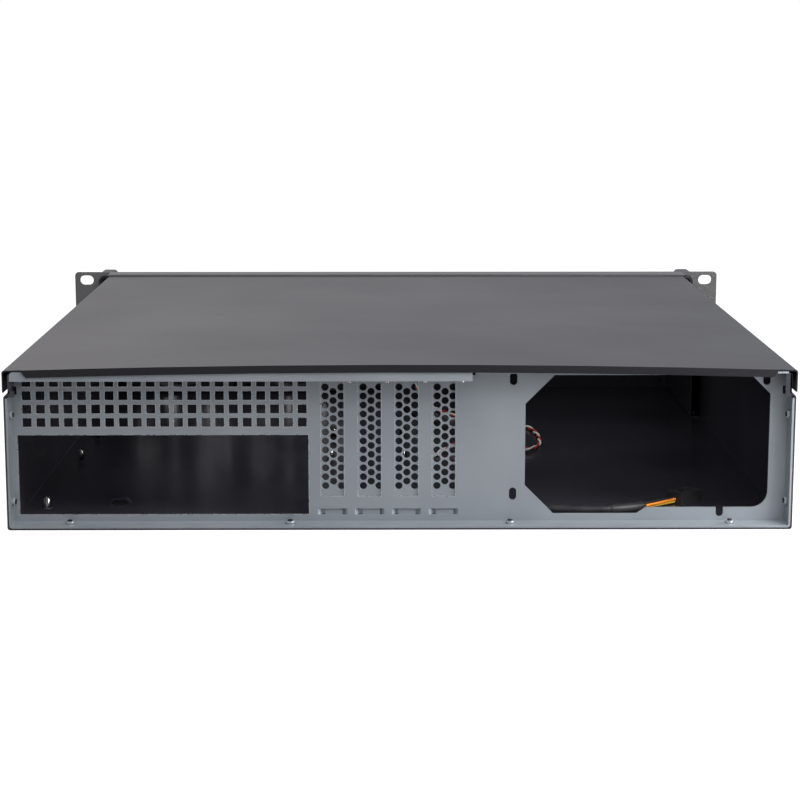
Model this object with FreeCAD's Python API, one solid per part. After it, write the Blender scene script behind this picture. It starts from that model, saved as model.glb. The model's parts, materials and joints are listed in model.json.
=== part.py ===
"""Empty 2U rackmount server case for a microATX mainboard and a PS/2 power supply.

A folded steel tray carries a zinc-plated rear panel, a flat front panel with rack ears and
handles, a drive cage, two fans and the front switches.  The top cover slides back and off.
Units are millimetres.  X runs across the case, the front faces -Y, the rear faces +Y, Z is up.
The origin is under the middle of the whole case, on the plane that it rests on.
"""
import FreeCAD
import Part
import math
import os

V = FreeCAD.Vector

# Rack standard and front panel
ear_overhang = 27.8
panel_rise = 0.5
panel_thickness = 2.5
panel_bottom = 0.4
ear_slot_inset_x = 8.75
ear_slot_inset_z = 5.95
ear_slot_width = 7.1
ear_slot_length = 10.2
ear_corner_radius = 2.5
return_overhang = 1.0
return_start = 0.5
return_depth = 15.2
return_sheet = 1.0

# Tray
case_depth = 450.0
body_width = 427.0
tray_sheet = 1.0
bend_radius = 0.6
joggle_drop = 14.4
joggle_step = 2.5
strap_length = 12.0
strap_width = 4.0
strap_rise = 3.0
strap_slope = 2.5
tray_flange = 8.0
tray_joggle_gap = 1.0
wall_flange = 8.0
wall_flange_rise = 4.0
sheet_gap = 0.1
return_gap = 0.15

# Cover
body_height = 88.0
cover_sheet = 0.8
cover_overlap = 0.5
cover_flange = 12.0
cover_tuck = 10.0
cover_lip_height = 4.2
cover_lip_inset = 11.7
cover_lip_slant = 2.0
cover_lip_corner = 1.4
cover_bow = 3.0
cover_bow_centre = -45.0
cover_travel = 20.0

# Rear panel
zinc_sheet = 1.0
rear_recess = 13.4
ledge_drop = 6.0
ledge_past_slots = 14.99
ledge_relief = 2.1
joggle_notch = 1.4
ledge_lip_corner = 2.0
vent_square = 4.9
vent_columns = 21
vent_rows = 4
vent_pitch_x = 7.5
vent_inset = 10.1
vent_start_share = 0.2207
vent_top_gap = 0.19
io_width = 158.75
io_height = 44.45
io_inset = 4.65
io_bottom = 5.6

# Expansion slots and their covers
slot_count = 4
slot_pitch = 20.32
slot_opening = 12.6
slot_bottom = 15.8
slot_1_from_board = 169.3
slot_play = (-0.5, -0.9, -0.1, -0.65)
cover_strip_width = 18.42
cover_strip_sheet = 0.86
tongue_below_strap = 0.74
tongue_corner = 1.0
shoulder_slant = 2.0
tongue_width = 9.6
tongue_length = 12.0
hole_pitch = 5.0
hole_diameter = 4.0
first_hole_z = 21.4
bridge_width = 16.2
bridge_height = 3.4
bridge_low = 5.4
bridge_slope = 2.2
bridge_land = 0.6
slot_top_gap = 0.8
tab_notch_length = 7.0
tab_notch_width = 3.6
tab_lip_gap = 1.0
slot_screw_offset = 9.7
slot_screw_from_edge = 6.4

# Power supply bay, measured from the supply's own lower inner corner
psu_width = 150.0
psu_depth = 140.0
psu_side_gap = 7.66
psu_hole_edge = 6.0
psu_hole_spacing_x = 138.0
psu_hole_margin = 24.0
psu_low_hole_x = 114.0
psu_low_hole_drop = 10.0
psu_slot_width = 4.0
psu_slot_length = 7.0
psu_open_slot_drop = 0.9
cutout_left = 12.6
cutout_right = 146.2
cutout_low = 4.9
cutout_drop = 4.9
cutout_step = 3.4
cutout_step_x = 74.2
cutout_step_run = 5.2
cutout_chamfer = 15.8
cutout_small_chamfer = 10.5
cutout_round = 9.0

# Mainboard mounting holes, from the board's rear corner on the connector side
board_inset = 7.15
board_rear_gap = 2.1
board_columns = (6.35, 163.83, 209.55)
board_rows = (10.16, 165.1, 237.49)
board_corner_row = 33.02
standoff_height = 6.4
standoff_across = 5.0
standoff_thread = 1.25
standoff_thread_depth = 5.4
spigot_from_below = 0.2

# Screws
screw_radius = 1.5
screw_thread_gap = 0.05
flat_head_radius = 2.8
flat_head_height = 1.5
pan_head_radius = 2.8
pan_head_height = 1.6
collar_radius = 2.4
collar_height = 1.6
boss_radius = 3.4
floor_screw_depth = 4.0
rear_screw_length = 5.0
rear_hole_depth = 6.0
cover_screw_length = 6.0
fan_screw_length = 14.0
slot_screw_length = 3.5
cage_screw_length = 1.9
panel_screw_low = 6.0
panel_screw_high = 8.0
rear_screw_from_edge = 7.0
rear_screw_low = 14.5
rear_screw_joggle_gap = 10.9
rear_screw_inset = 33.0
cover_screw_drop = 6.4
cover_screw_rear = 40.0
cover_screw_front = 50.0

# Handles
handle_from_body = 5.0
handle_width = 11.0
handle_reach = 38.0
handle_bar = 12.0
handle_low_gap = 1.6
handle_top_gap = 1.0
handle_corner = 14.0
handle_edge = 2.5
handle_screw_radius = 2.5
handle_head_radius = 4.75
handle_head_height = 2.8
handle_thread_depth = 10.0
handle_thread_clearance = 1.0
handle_socket_radius = 1.9
handle_socket_start = 1.2
handle_head_edge = 0.8

# Fans
fan_headroom = 8.0
fan_depth = 25.0
fan_bottom = 2.6
fan_hole_margin = 8.5
fan_rim = 2.0
fan_corner = 4.0
fan_web = 3.5
fan_hub_radius = 17.0
fan_hub_wall = 2.0
fan_blade_count = 7
fan_blade_sheet = 1.6
fan_blade_gap = 1.2
fan_root_angle = 48.0
fan_root_chord = 15.0
fan_tip_angle = 28.0
fan_tip_chord = 22.0
fan_root_sink = 0.5
fan_shaft_radius = 1.5
fan_shaft_gap = 0.05
fan_boss_radius = 16.0
fan_boss_depth = 3.0
fan_strut = 4.0
fan_channel_height = 5.2
fan_channel_rise = 4.4
fan_tube_radius = 3.6
fan_tube_start = 7.0
fan_back_wall = 0.8
fan_strut_turn = 30.0
fan_hub_start = 2.0
fan_hub_edge = 1.5
fan_hub_back_gap = 1.0
vent_slot_count = 11
vent_slot_width = 3.4
vent_slot_pitch = 6.6
vent_slot_margin = 16.0

# Drive cage and bay
cage_width = 149.4
cage_side_gap = 8.0
cage_depth = 126.0
cage_sheet = 1.0
cage_foot = 8.0
cage_shelf_window = 22.0
bay_height = 42.4
bay_top_gap = 1.0
cage_slot_width = 3.4
cage_slot_length = 9.0
drive_hole_start = 34.0
drive_hole_spacing = 79.25
drive_hole_height = 10.0
drive_hole_rise = 11.9
cage_screw_inset = 14.0
cage_wall_gap = 0.5
bay_cover_gap = 0.3
bay_cover_front = 1.2
bay_cover_depth = 18.0
bay_cover_wall = 2.0
bay_cover_edge = 0.8
bay_rib_count = 3
bay_rib_sheet = 1.6
bay_rib_from_back = 6.0
bay_groove_spacing = 9.0
bay_groove_inset = 14.0
bay_groove_width = 1.0
bay_groove_depth = 0.7
bay_tongue_inset = 14.0
bay_tongue_gap = 2.0

# Front switches, lamps and sockets
power_drop = 25.5
power_from_reset = 19.0
power_radius = 7.0
reset_radius = 2.6
button_gap = 0.2
button_proud = 1.4
button_travel = 1.5
button_rim = 1.4
button_edge = 0.8
button_rim_sheet = 1.2
stem_radius = 1.8
lamp_from_reset = 39.0
lamp_spacing = 8.0
lamp_radius = 1.5
lamp_proud = 0.9
lamp_collar = 0.4
lamp_collar_sheet = 1.4
usb_spacing = 22.0
usb_z = 30.0
usb_width = 13.2
usb_height = 5.8
usb_wall = 0.5
usb_recess = 0.2
usb_back_wall = 1.5
usb_tongue_inset = 1.6
usb_tongue_recess = 1.0
usb_tongue_rise = 0.2
usb_tongue_sheet = 1.7
socket_gap = 0.15
board_offset = 10.0
switch_board_sheet = 1.6
switch_board_margin = 9.0
switch_body = 6.0
switch_depth = 4.2
switch_engage = 1.0
bracket_sheet = 1.0
bracket_foot = 7.0
bracket_hook = 12.0
bracket_hook_reach = 4.0
header_width = 10.0
header_height = 5.2
header_depth = 6.0
header_place = 29.0
header_z = 27.0
board_gap_share = 0.312
fan_gap_share = 0.3488
between_fans_share = 0.1357

# Leads that lie on the tray floor
fan_lead_diameter = 4.6
panel_lead_diameter = 2.6
fan_plug_length = 18.0
fan_plug_width = 11.0
fan_plug_height = 6.4
lead_plug_length = 14.0
lead_plug_width = 5.2
lead_plug_height = 2.8
latch_start_share = 0.3
latch_end_share = 0.75
latch_height = 1.2

# Places that follow from the sizes above
overall_depth = handle_reach + panel_thickness + case_depth + sheet_gap + cover_sheet
rear_y = overall_depth / 2 - sheet_gap - cover_sheet
panel_back = rear_y - case_depth
panel_front = panel_back - panel_thickness
panel_width = body_width + 2 * ear_overhang
panel_top = body_height + panel_rise
panel_height = panel_top - panel_bottom
ear_slot_spacing_x = panel_width - 2 * ear_slot_inset_x
ear_slot_spacing_z = panel_height - 2 * ear_slot_inset_z
half_width = body_width / 2
inner_half = half_width - tray_sheet
upper_half = half_width - joggle_step
upper_inner = upper_half - tray_sheet
joggle_bottom = body_height - joggle_drop
joggle_top = joggle_bottom + joggle_step
floor_top = tray_sheet
cover_front_top = panel_top - return_sheet - return_gap
tray_top = cover_front_top - cover_sheet - sheet_gap
zinc_top = body_height - cover_sheet - sheet_gap
wall_back = panel_back + tray_sheet
face_rear = rear_y - rear_recess
face_front = face_rear - zinc_sheet
board_edge = half_width - board_inset
board_rear = face_front - board_rear_gap
last_slot = board_edge - slot_1_from_board - slot_pitch * (slot_count - 1)
ledge_underside = body_height - ledge_drop
ledge_end = last_slot - ledge_past_slots
io_top = io_bottom + io_height
vent_first_z = io_top + (ledge_underside - io_top) * vent_start_share
vent_last_z = ledge_underside - vent_top_gap - vent_square / 2
vent_pitch_z = (vent_last_z - vent_first_z) / (vent_rows - 1)
slot_top = ledge_underside - slot_top_gap
hole_rows = int((slot_top - hole_diameter / 2 - first_hole_z) / hole_pitch) + 1
cover_screw_height = body_height - cover_screw_drop
handle_x = half_width + handle_from_body
psu_left = psu_side_gap + psu_width - half_width
psu_hole_spacing_z = body_height - psu_hole_margin
cutout_top = body_height - floor_top - cutout_drop
fan_size = body_height - fan_headroom
fan_hole_spacing = fan_size - fan_hole_margin
fan_duct_radius = fan_size / 2 - fan_rim
fan_middle = fan_bottom + fan_size / 2
fan_channel_z = fan_middle - fan_duct_radius + fan_channel_rise
cage_outer = -half_width + cage_side_gap
cage_inner = cage_outer + cage_width
cage_outer_foot = cage_side_gap - tray_sheet - bend_radius - sheet_gap
bay_top = tray_top - bay_top_gap
bay_bottom = bay_top - bay_height
cage_front = wall_back + cage_wall_gap
cage_slot_heights = (bay_bottom + drive_hole_height, bay_bottom + drive_hole_height + drive_hole_rise)
cage_slot_insets = (drive_hole_start, drive_hole_start + drive_hole_spacing)
switch_board_front = wall_back + board_offset
switch_board_back = switch_board_front + switch_board_sheet
switch_board_width = lamp_from_reset + 2 * switch_board_margin
front_spare = inner_half - cage_inner - switch_board_width - 2 * fan_size
switch_board_left = cage_inner + front_spare * board_gap_share
switch_board_right = switch_board_left + switch_board_width
fan_1_x = switch_board_right + front_spare * fan_gap_share + fan_size / 2
fan_places = (fan_1_x, fan_1_x + fan_size + front_spare * between_fans_share)
reset_x = switch_board_left + switch_board_margin
power_x = reset_x + power_from_reset
lamp_x = reset_x + lamp_from_reset
usb_places = (reset_x, reset_x + usb_spacing)
power_z = panel_top - power_drop
lamp_heights = (power_z + lamp_spacing / 2, power_z - lamp_spacing / 2)
switch_board_low = usb_z - switch_board_margin
switch_board_high = lamp_heights[0] + switch_board_margin
strap_places = ((160.0, rear_y - 64.0), (-20.0, rear_y - 64.0), (60.0, panel_back + 170.0))


def box(x0, x1, y0, y1, z0, z1):
    """Block between two corners."""
    return Part.makeBox(x1 - x0, y1 - y0, z1 - z0, V(x0, y0, z0))


def rod(radius, start, end):
    """Round bar between two points."""
    axis = V(*end) - V(*start)
    return Part.makeCylinder(radius, axis.Length, V(*start), axis)


def join(shapes):
    """One solid from pieces that meet."""
    return shapes[0].multiFuse(list(shapes[1:])).removeSplitter()


def group(shapes):
    """Separate solids that share one node."""
    return Part.makeCompound(list(shapes))


def in_xz(y):
    """Places a flat point (u, v) at x = u, z = v."""
    return lambda u, v: V(u, y, v)


def in_xy(z):
    """Places a flat point (u, v) at x = u, y = v."""
    return lambda u, v: V(u, v, z)


def in_yz(x):
    """Places a flat point (u, v) at y = u, z = v."""
    return lambda u, v: V(x, u, v)


def outline(points, radii, place):
    """Closed wire through flat points, with each corner rounded by its radius."""
    count = len(points)
    ends = []
    for i in range(count):
        corner = place(*points[i])
        before = place(*points[i - 1]) - corner
        after = place(*points[(i + 1) % count]) - corner
        if radii[i] <= 0:
            ends.append((corner, None, corner))
            continue
        half_turn = (math.pi - before.getAngle(after)) / 2
        before.normalize()
        after.normalize()
        reach = radii[i] * math.tan(half_turn)
        towards = before + after
        towards.normalize()
        depth = radii[i] / math.cos(half_turn) - radii[i]
        ends.append((corner + before * reach, corner + towards * depth, corner + after * reach))
    edges = []
    for i in range(count):
        enter, middle, leave = ends[i]
        if middle is not None:
            edges.append(Part.Arc(enter, middle, leave).toShape())
        following = ends[(i + 1) % count][0]
        if (following - leave).Length > 1e-6:
            edges.append(Part.LineSegment(leave, following).toShape())
    return Part.Wire(edges)


def plate(points, radii, place, thickness):
    """Flat plate with rounded corners; thickness is a vector."""
    return Part.Face(outline(points, radii, place)).extrude(thickness)


def folded(points, sheet, place, length):
    """Folded sheet: a flat path thickened to its left, with rounded bends, extruded."""
    vectors = [FreeCAD.Vector(u, v, 0) for u, v in points]
    steps = []
    for a, b in zip(vectors, vectors[1:]):
        step = b - a
        step.normalize()
        steps.append(step)
    near = [(v.x, v.y) for v in vectors]
    far = []
    near_radii = [0.0]
    far_radii = [0.0]
    for i, point in enumerate(vectors):
        arriving = steps[max(i - 1, 0)]
        leaving = steps[min(i, len(steps) - 1)]
        normal = V(-arriving.y - leaving.y, arriving.x + leaving.x, 0)
        normal.normalize()
        spread = normal.dot(V(-arriving.y, arriving.x, 0))
        far.append((point.x + normal.x * sheet / spread, point.y + normal.y * sheet / spread))
        if 0 < i < len(vectors) - 1:
            left_turn = arriving.x * leaving.y - arriving.y * leaving.x > 0
            near_radii.append(bend_radius + (sheet if left_turn else 0))
            far_radii.append(bend_radius + (0 if left_turn else sheet))
    near_radii.append(0.0)
    far_radii.append(0.0)
    return plate(near + far[::-1], near_radii + far_radii[::-1], place, length)


def slot_hole(centre, length, width, along, through):
    """Round-ended slot: along is its long direction, through its depth vector."""
    along = V(*along)
    through = V(*through)
    across = along.cross(through)
    across.normalize()
    half = (length - width) / 2
    radius = width / 2
    middle = V(*centre)
    a = middle - along * half + across * radius
    b = middle + along * half + across * radius
    c = middle + along * half - across * radius
    d = middle - along * half - across * radius
    right = middle + along * (half + radius)
    left = middle - along * (half + radius)
    wire = Part.Wire([
        Part.LineSegment(a, b).toShape(),
        Part.Arc(b, right, c).toShape(),
        Part.LineSegment(c, d).toShape(),
        Part.Arc(d, left, a).toShape(),
    ])
    return Part.Face(wire).extrude(through)


def flat_head_screw(top, axis, length):
    """Countersunk screw; top is the middle of its head, axis points along the shank."""
    axis = V(*axis)
    top = V(*top)
    shank = screw_radius - screw_thread_gap
    head = Part.makeCone(flat_head_radius, shank, flat_head_height, top, axis)
    return join([head, Part.makeCylinder(shank, length, top, axis)])


def flat_head_hole(top, axis, depth):
    """Clearance for a countersunk screw."""
    axis = V(*axis)
    top = V(*top)
    cone = Part.makeCone(flat_head_radius, screw_radius, flat_head_height, top, axis)
    return join([cone, Part.makeCylinder(screw_radius, depth, top, axis)])


def pan_head_screw(seat, axis, length):
    """Pan-head screw; seat is the middle of the face under its head, axis points along the shank."""
    axis = V(*axis)
    seat = V(*seat)
    edge = pan_head_height / 2
    shank = Part.makeCylinder(screw_radius - screw_thread_gap, length, seat, axis)
    head = Part.makeCylinder(pan_head_radius, edge, seat - axis * edge, axis)
    crown_start = seat - axis * pan_head_height
    crown = Part.makeCone(pan_head_radius - edge, pan_head_radius, edge, crown_start, axis)
    return join([head, crown, shank])


def rear_screws():
    """Seats of the screws that hold the rear panel: (head middle, shank direction)."""
    y = rear_y - rear_screw_from_edge
    outer = half_width - rear_screw_inset
    seats = [((x, y, 0.0), (0, 0, 1)) for x in (outer, outer / 3, -outer / 3, -outer)]
    for side in (-1, 1):
        for z in (rear_screw_low, joggle_bottom - rear_screw_joggle_gap):
            seats.append(((side * half_width, y, z), (-side, 0, 0)))
    return seats


def cover_screw_seats():
    """Seats of the cover's side screws, on the outside of the cover's flanges."""
    x = half_width + cover_overlap + sheet_gap
    seats = []
    for side in (-1, 1):
        for place in (cover_screw_rear, case_depth / 2, case_depth - cover_screw_front):
            seats.append(((side * x, rear_y - place, cover_screw_height), (-side, 0, 0)))
    return seats


def panel_screw_seats():
    """Countersunk screws that hold the front panel to the front wall."""
    beside_cage = (cage_inner + switch_board_left) / 2
    beside_fan = (switch_board_right + fan_places[0] - fan_size / 2) / 2
    low = panel_bottom + panel_screw_low
    high = panel_top - panel_screw_high
    places = [(beside_cage, low), (cage_outer + panel_screw_low, low), (beside_fan, high),
              (beside_cage, high)]
    return [((x, panel_front, z), (0, 1, 0)) for x, z in places]


def fan_screw_seats():
    """Countersunk screws through the front panel into the fans' corners."""
    half = fan_hole_spacing / 2
    return [
        ((x + i * half, panel_front, fan_middle + j * half), (0, 1, 0))
        for x in fan_places for i in (-1, 1) for j in (-1, 1)
    ]


def handle_screw_places():
    """Where each handle's two screws pass through the panel."""
    low = panel_bottom + handle_low_gap + handle_bar / 2
    high = panel_top - handle_top_gap - handle_bar / 2
    return [(side * handle_x, z) for side in (-1, 1) for z in (low, high)]


def standoff_places():
    """Mainboard hole centres on the tray floor."""
    places = []
    for column in board_columns:
        for row in board_rows:
            back = board_corner_row if (column == board_columns[0] and row == board_rows[0]) else row
            places.append((board_edge - column, board_rear - back))
    return places


def slot_centres():
    """Middle of each expansion slot, counted from the connector side."""
    first = board_edge - slot_1_from_board
    return [first - slot_pitch * i for i in range(slot_count)]


def psu_point(across, up):
    """Point on the rear panel, measured from the supply's lower inner corner."""
    return (psu_left - across, floor_top + up)


def front_openings(y0, y1):
    """Holes that the front panel and the front wall share."""
    tools = [box(cage_outer + cage_sheet, cage_inner - cage_sheet, y0, y1, bay_bottom, bay_top)]
    tools.append(rod(power_radius + button_gap, (power_x, y0, power_z), (power_x, y1, power_z)))
    tools.append(rod(reset_radius + button_gap, (reset_x, y0, power_z), (reset_x, y1, power_z)))
    for z in lamp_heights:
        tools.append(rod(lamp_radius + socket_gap, (lamp_x, y0, z), (lamp_x, y1, z)))
    for x in usb_places:
        half = usb_width / 2 + socket_gap
        rise = usb_height / 2 + socket_gap
        tools.append(box(x - half, x + half, y0, y1, usb_z - rise, usb_z + rise))
    for seat, axis in panel_screw_seats() + fan_screw_seats():
        tools.append(rod(screw_radius, (seat[0], y0, seat[2]), (seat[0], y1, seat[2])))
    return tools


def cable_strap(x, y):
    """Strap lanced up from the floor, for a cable tie to go through."""
    half = strap_length / 2
    path = [(x + half, 0.0), (x + half - strap_slope, strap_rise), (x - half + strap_slope, strap_rise),
            (x - half, 0.0)]
    return folded(path[::-1], tray_sheet, in_xz(y), V(0, strap_width, 0))


def base_tray():
    """Floor and two joggled side walls with top flanges, folded from one sheet."""
    right = [
        (half_width, 0.0), (half_width, joggle_bottom), (upper_half, joggle_top),
        (upper_half, tray_top), (upper_half - tray_flange, tray_top),
    ]
    path = [(-x, z) for x, z in right[::-1]] + right
    shell = folded(path, tray_sheet, in_xz(panel_back), V(0, case_depth, 0))
    bosses = []
    for seat, axis in cover_screw_seats():
        outer = math.copysign(half_width + cover_overlap - cover_sheet - sheet_gap, seat[0])
        start = (math.copysign(upper_inner, seat[0]), seat[1], seat[2])
        bosses.append(rod(boss_radius, start, (outer, seat[1], seat[2])))
    tools = []
    for side in (-1, 1):
        inner = side * (upper_half - tray_flange - 1)
        outer = side * upper_inner
        start = face_front - (psu_depth + 2.0 if side < 0 else board_rear_gap)
        low = tray_top - 2 * tray_sheet - bend_radius
        tools.append(box(min(inner, outer), max(inner, outer), start, rear_y + 1, low, tray_top + 1))
    for seat, axis in rear_screws():
        tools.append(flat_head_hole(seat, axis, floor_screw_depth))
    for seat, axis in cover_screw_seats():
        tip = (math.copysign(upper_inner - 1, seat[0]), seat[1], seat[2])
        tools.append(rod(screw_radius, seat, tip))
    for x, y in standoff_places() + cage_screw_seats():
        tools.append(rod(screw_radius, (x, y, -1), (x, y, floor_top + 1)))
    half = strap_length / 2
    for x, y in strap_places:
        tools.append(box(x - half, x + half, y, y + strap_width, -1, floor_top + 1))
    straps = [cable_strap(x, y) for x, y in strap_places]
    return join([join([shell] + bosses).cut(tools)] + straps)


def front_wall():
    """Wall welded in across the tray's front, with a flange folded back along each side."""
    flange_top = joggle_bottom - tray_joggle_gap
    neck_top = joggle_top + tray_joggle_gap
    neck = upper_inner - joggle_notch
    right = [
        (inner_half, floor_top), (inner_half, flange_top), (neck, flange_top),
        (neck, neck_top), (upper_inner, neck_top), (upper_inner, tray_top - tray_sheet),
    ]
    points = [(-x, z) for x, z in right[::-1]] + right
    corner = bend_radius + tray_sheet
    radii = [corner] + [0.0] * 4 + [corner, corner] + [0.0] * 4 + [corner]
    parts = [plate(points, radii, in_xz(panel_back), V(0, tray_sheet, 0))]
    for side in (-1, 1):
        edge = side * inner_half
        face = side * (inner_half - tray_sheet)
        low = floor_top + wall_flange_rise
        parts.append(box(min(edge, face), max(edge, face), panel_back, wall_back + wall_flange, low,
                         flange_top))
    tools = front_openings(panel_back - 1, wall_back + 1)
    for x in fan_places:
        tools.append(rod(fan_duct_radius, (x, panel_back - 1, fan_middle), (x, wall_back + 1, fan_middle)))
    return join(parts).cut(tools)


def roof_edge(y, drop, bow):
    """Roof line across the case at one depth, lowered by drop, with its crown raised by bow."""
    outer = half_width + cover_overlap - cover_sheet - bend_radius
    points = [V(-outer, y, body_height - drop), V(cover_bow_centre, y, body_height - drop + bow),
              V(outer, y, body_height - drop)]
    curve = Part.BSplineCurve()
    curve.interpolate(points)
    return curve.toShape()


def cover_section(y, drop, bow):
    """Closed section of the cover: roof, rounded corners and side flanges."""
    outer = half_width + cover_overlap
    inner = outer - cover_sheet
    bend = outer - cover_sheet - bend_radius
    outer_bend = cover_sheet + bend_radius
    top = body_height - drop
    low = body_height - cover_flange
    diagonal = math.sqrt(0.5)

    def corner(side, radius, reverse):
        """Quarter bend on one side of the roof."""
        centre = V(side * bend, y, top - outer_bend)
        ends = [centre + V(0, 0, radius), centre + V(side * radius * diagonal, 0, radius * diagonal),
                centre + V(side * radius, 0, 0)]
        if reverse:
            ends.reverse()
        return Part.Arc(*ends).toShape()

    def line(x0, z0, x1, z1):
        return Part.LineSegment(V(x0, y, z0), V(x1, y, z1)).toShape()

    upper = roof_edge(y, drop, bow)
    lower = roof_edge(y, drop + cover_sheet, bow)
    return Part.Wire([
        line(-outer, low, -outer, top - outer_bend),
        corner(-1, outer_bend, True),
        upper,
        corner(1, outer_bend, False),
        line(outer, top - outer_bend, outer, low),
        line(outer, low, inner, low),
        line(inner, low, inner, top - outer_bend),
        corner(1, bend_radius, True),
        lower,
        corner(-1, bend_radius, False),
        line(-inner, top - outer_bend, -inner, low),
        line(-inner, low, -outer, low),
    ])


def top_cover():
    """Cover with side flanges, a bowed rear edge and a turned-down rear lip."""
    front_y = panel_back + return_depth - cover_tuck
    back_y = rear_y + sheet_gap + cover_sheet
    front = cover_section(front_y, body_height - cover_front_top, 0.0)
    rear = cover_section(back_y, 0.0, cover_bow)
    shell = Part.makeLoft([front, rear], True, True)
    lip_end = half_width - cover_lip_inset + cover_lip_slant
    lip_foot = lip_end - cover_lip_slant
    inner_y = back_y - cover_sheet
    upper = roof_edge(inner_y, cover_sheet / 2, cover_bow)
    low = body_height - cover_lip_height
    face_height = cover_bow + 1
    curtain = upper.extrude(V(0, 0, -cover_lip_height + cover_sheet / 2)).extrude(V(0, cover_sheet, 0))
    ends = []
    for side in (-1, 1):
        points = [
            (side * lip_end, body_height), (side * lip_foot, low + cover_lip_corner),
            (side * (lip_foot - cover_lip_corner), low), (side * (lip_foot - cover_lip_corner), low - 1),
            (side * (half_width + 5), low - 1), (side * (half_width + 5), body_height + face_height),
            (side * lip_end, body_height + face_height),
        ]
        radii = (0, cover_lip_corner, cover_lip_corner, 0, 0, 0, 0)
        ends.append(plate(points, radii, in_xz(inner_y - sheet_gap), V(0, cover_sheet + 1, 0)))
    cover = join([shell, curtain]).cut(ends)
    tools = []
    for side in (-1, 1):
        outer = side * (half_width + cover_overlap + 1)
        inner = side * (half_width - 1)
        tools.append(box(min(outer, inner), max(outer, inner), rear_y, back_y + 1, 0,
                         body_height + face_height))
    for seat, axis in cover_screw_seats():
        middle = (seat[0] - axis[0] * 1.0, seat[1] - cover_travel / 2, seat[2])
        length = cover_travel + 2 * screw_radius + 4 * sheet_gap
        tools.append(slot_hole(middle, length, 2 * screw_radius + 4 * sheet_gap, (0, 1, 0),
                               (axis[0] * 3.0, 0, 0)))
    return cover.cut(tools)


def slot_bridge(x):
    """Strap lanced inwards from the rear panel, which traps a slot cover's tongue."""
    half = bridge_width / 2
    near = face_rear
    deep = face_front - cover_strip_sheet - sheet_gap
    path = [
        (x + half + bridge_land, near), (x + half, near), (x + half - bridge_slope, deep),
        (x - half + bridge_slope, deep), (x - half, near), (x - half - bridge_land, near),
    ]
    return folded(path, zinc_sheet, in_xy(bridge_low), V(0, 0, bridge_height))


def rear_panel():
    """Zinc-plated pan: recessed face with flanges, ledge, vents, slots and power supply cut-out."""
    lower = half_width - tray_sheet
    upper = upper_half - tray_sheet
    neck = upper - joggle_notch
    flange_top = joggle_bottom - tray_joggle_gap
    neck_top = joggle_top + tray_joggle_gap
    ledge_top = ledge_underside + zinc_sheet
    face_points = [
        (-lower, floor_top), (lower, floor_top), (lower, flange_top), (neck, flange_top),
        (neck, neck_top), (upper, neck_top), (upper, ledge_top), (ledge_end, ledge_top),
        (ledge_end - ledge_relief, ledge_top), (ledge_end - ledge_relief, zinc_top),
        (-upper, zinc_top), (-upper, neck_top), (-neck, neck_top), (-neck, flange_top), (-lower, flange_top),
    ]
    outer_bend = bend_radius + zinc_sheet
    face_radii = [outer_bend, outer_bend] + [0.0] * (len(face_points) - 2)
    face = plate(face_points, face_radii, in_xz(face_front), V(0, zinc_sheet, 0))
    rim = [(-lower, flange_top), (-lower, floor_top), (lower, floor_top), (lower, flange_top)]
    flanges = folded(rim, zinc_sheet, in_xz(face_front), V(0, rear_y - face_front, 0))
    parts = [face, flanges]
    parts.append(box(ledge_end, upper, face_front, rear_y, ledge_underside, ledge_top))
    lip_points = [(ledge_end, ledge_underside), (upper, ledge_underside), (upper, zinc_top),
                  (ledge_end, zinc_top)]
    parts.append(plate(lip_points, (0, 0, ledge_lip_corner, bend_radius), in_xz(rear_y - zinc_sheet),
                       V(0, zinc_sheet, 0)))
    parts.append(box(-upper + 1.0, ledge_end - ledge_relief, face_front, rear_y, zinc_top - zinc_sheet,
                     zinc_top))
    for seat, axis in rear_screws():
        start = V(*seat) + V(*axis) * tray_sheet
        end = V(*seat) + V(*axis) * (tray_sheet + zinc_sheet + collar_height)
        parts.append(rod(collar_radius, tuple(start), tuple(end)))
    tools = []
    for row in range(vent_rows):
        z = vent_first_z + row * vent_pitch_z
        for column in range(vent_columns):
            x = half_width - vent_inset - column * vent_pitch_x
            half = vent_square / 2
            tools.append(box(x - half, x + half, face_front - 1, face_rear + 1, z - half, z + half))
    io_edge = half_width - io_inset
    tools.append(box(io_edge - io_width, io_edge, face_front - 1, face_rear + 1, io_bottom,
                     io_bottom + io_height))
    for x in slot_centres():
        half = slot_opening / 2
        tools.append(box(x - half, x + half, face_front - 1, face_rear + 1, slot_bottom, slot_top))
        half = bridge_width / 2
        tools.append(box(x - half, x + half, face_front - 1, face_rear + 1, bridge_low,
                         bridge_low + bridge_height))
    tools += psu_cutout()
    panel = join(parts).cut(tools)
    straps = [slot_bridge(x) for x in slot_centres()]
    panel = join([panel] + straps)
    holes = [flat_head_hole(seat, axis, rear_hole_depth) for seat, axis in rear_screws()]
    for x, y in slot_screw_places():
        holes.append(rod(screw_radius, (x, y, ledge_underside - 1), (x, y, ledge_top + 1)))
    return panel.cut(holes)


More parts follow.
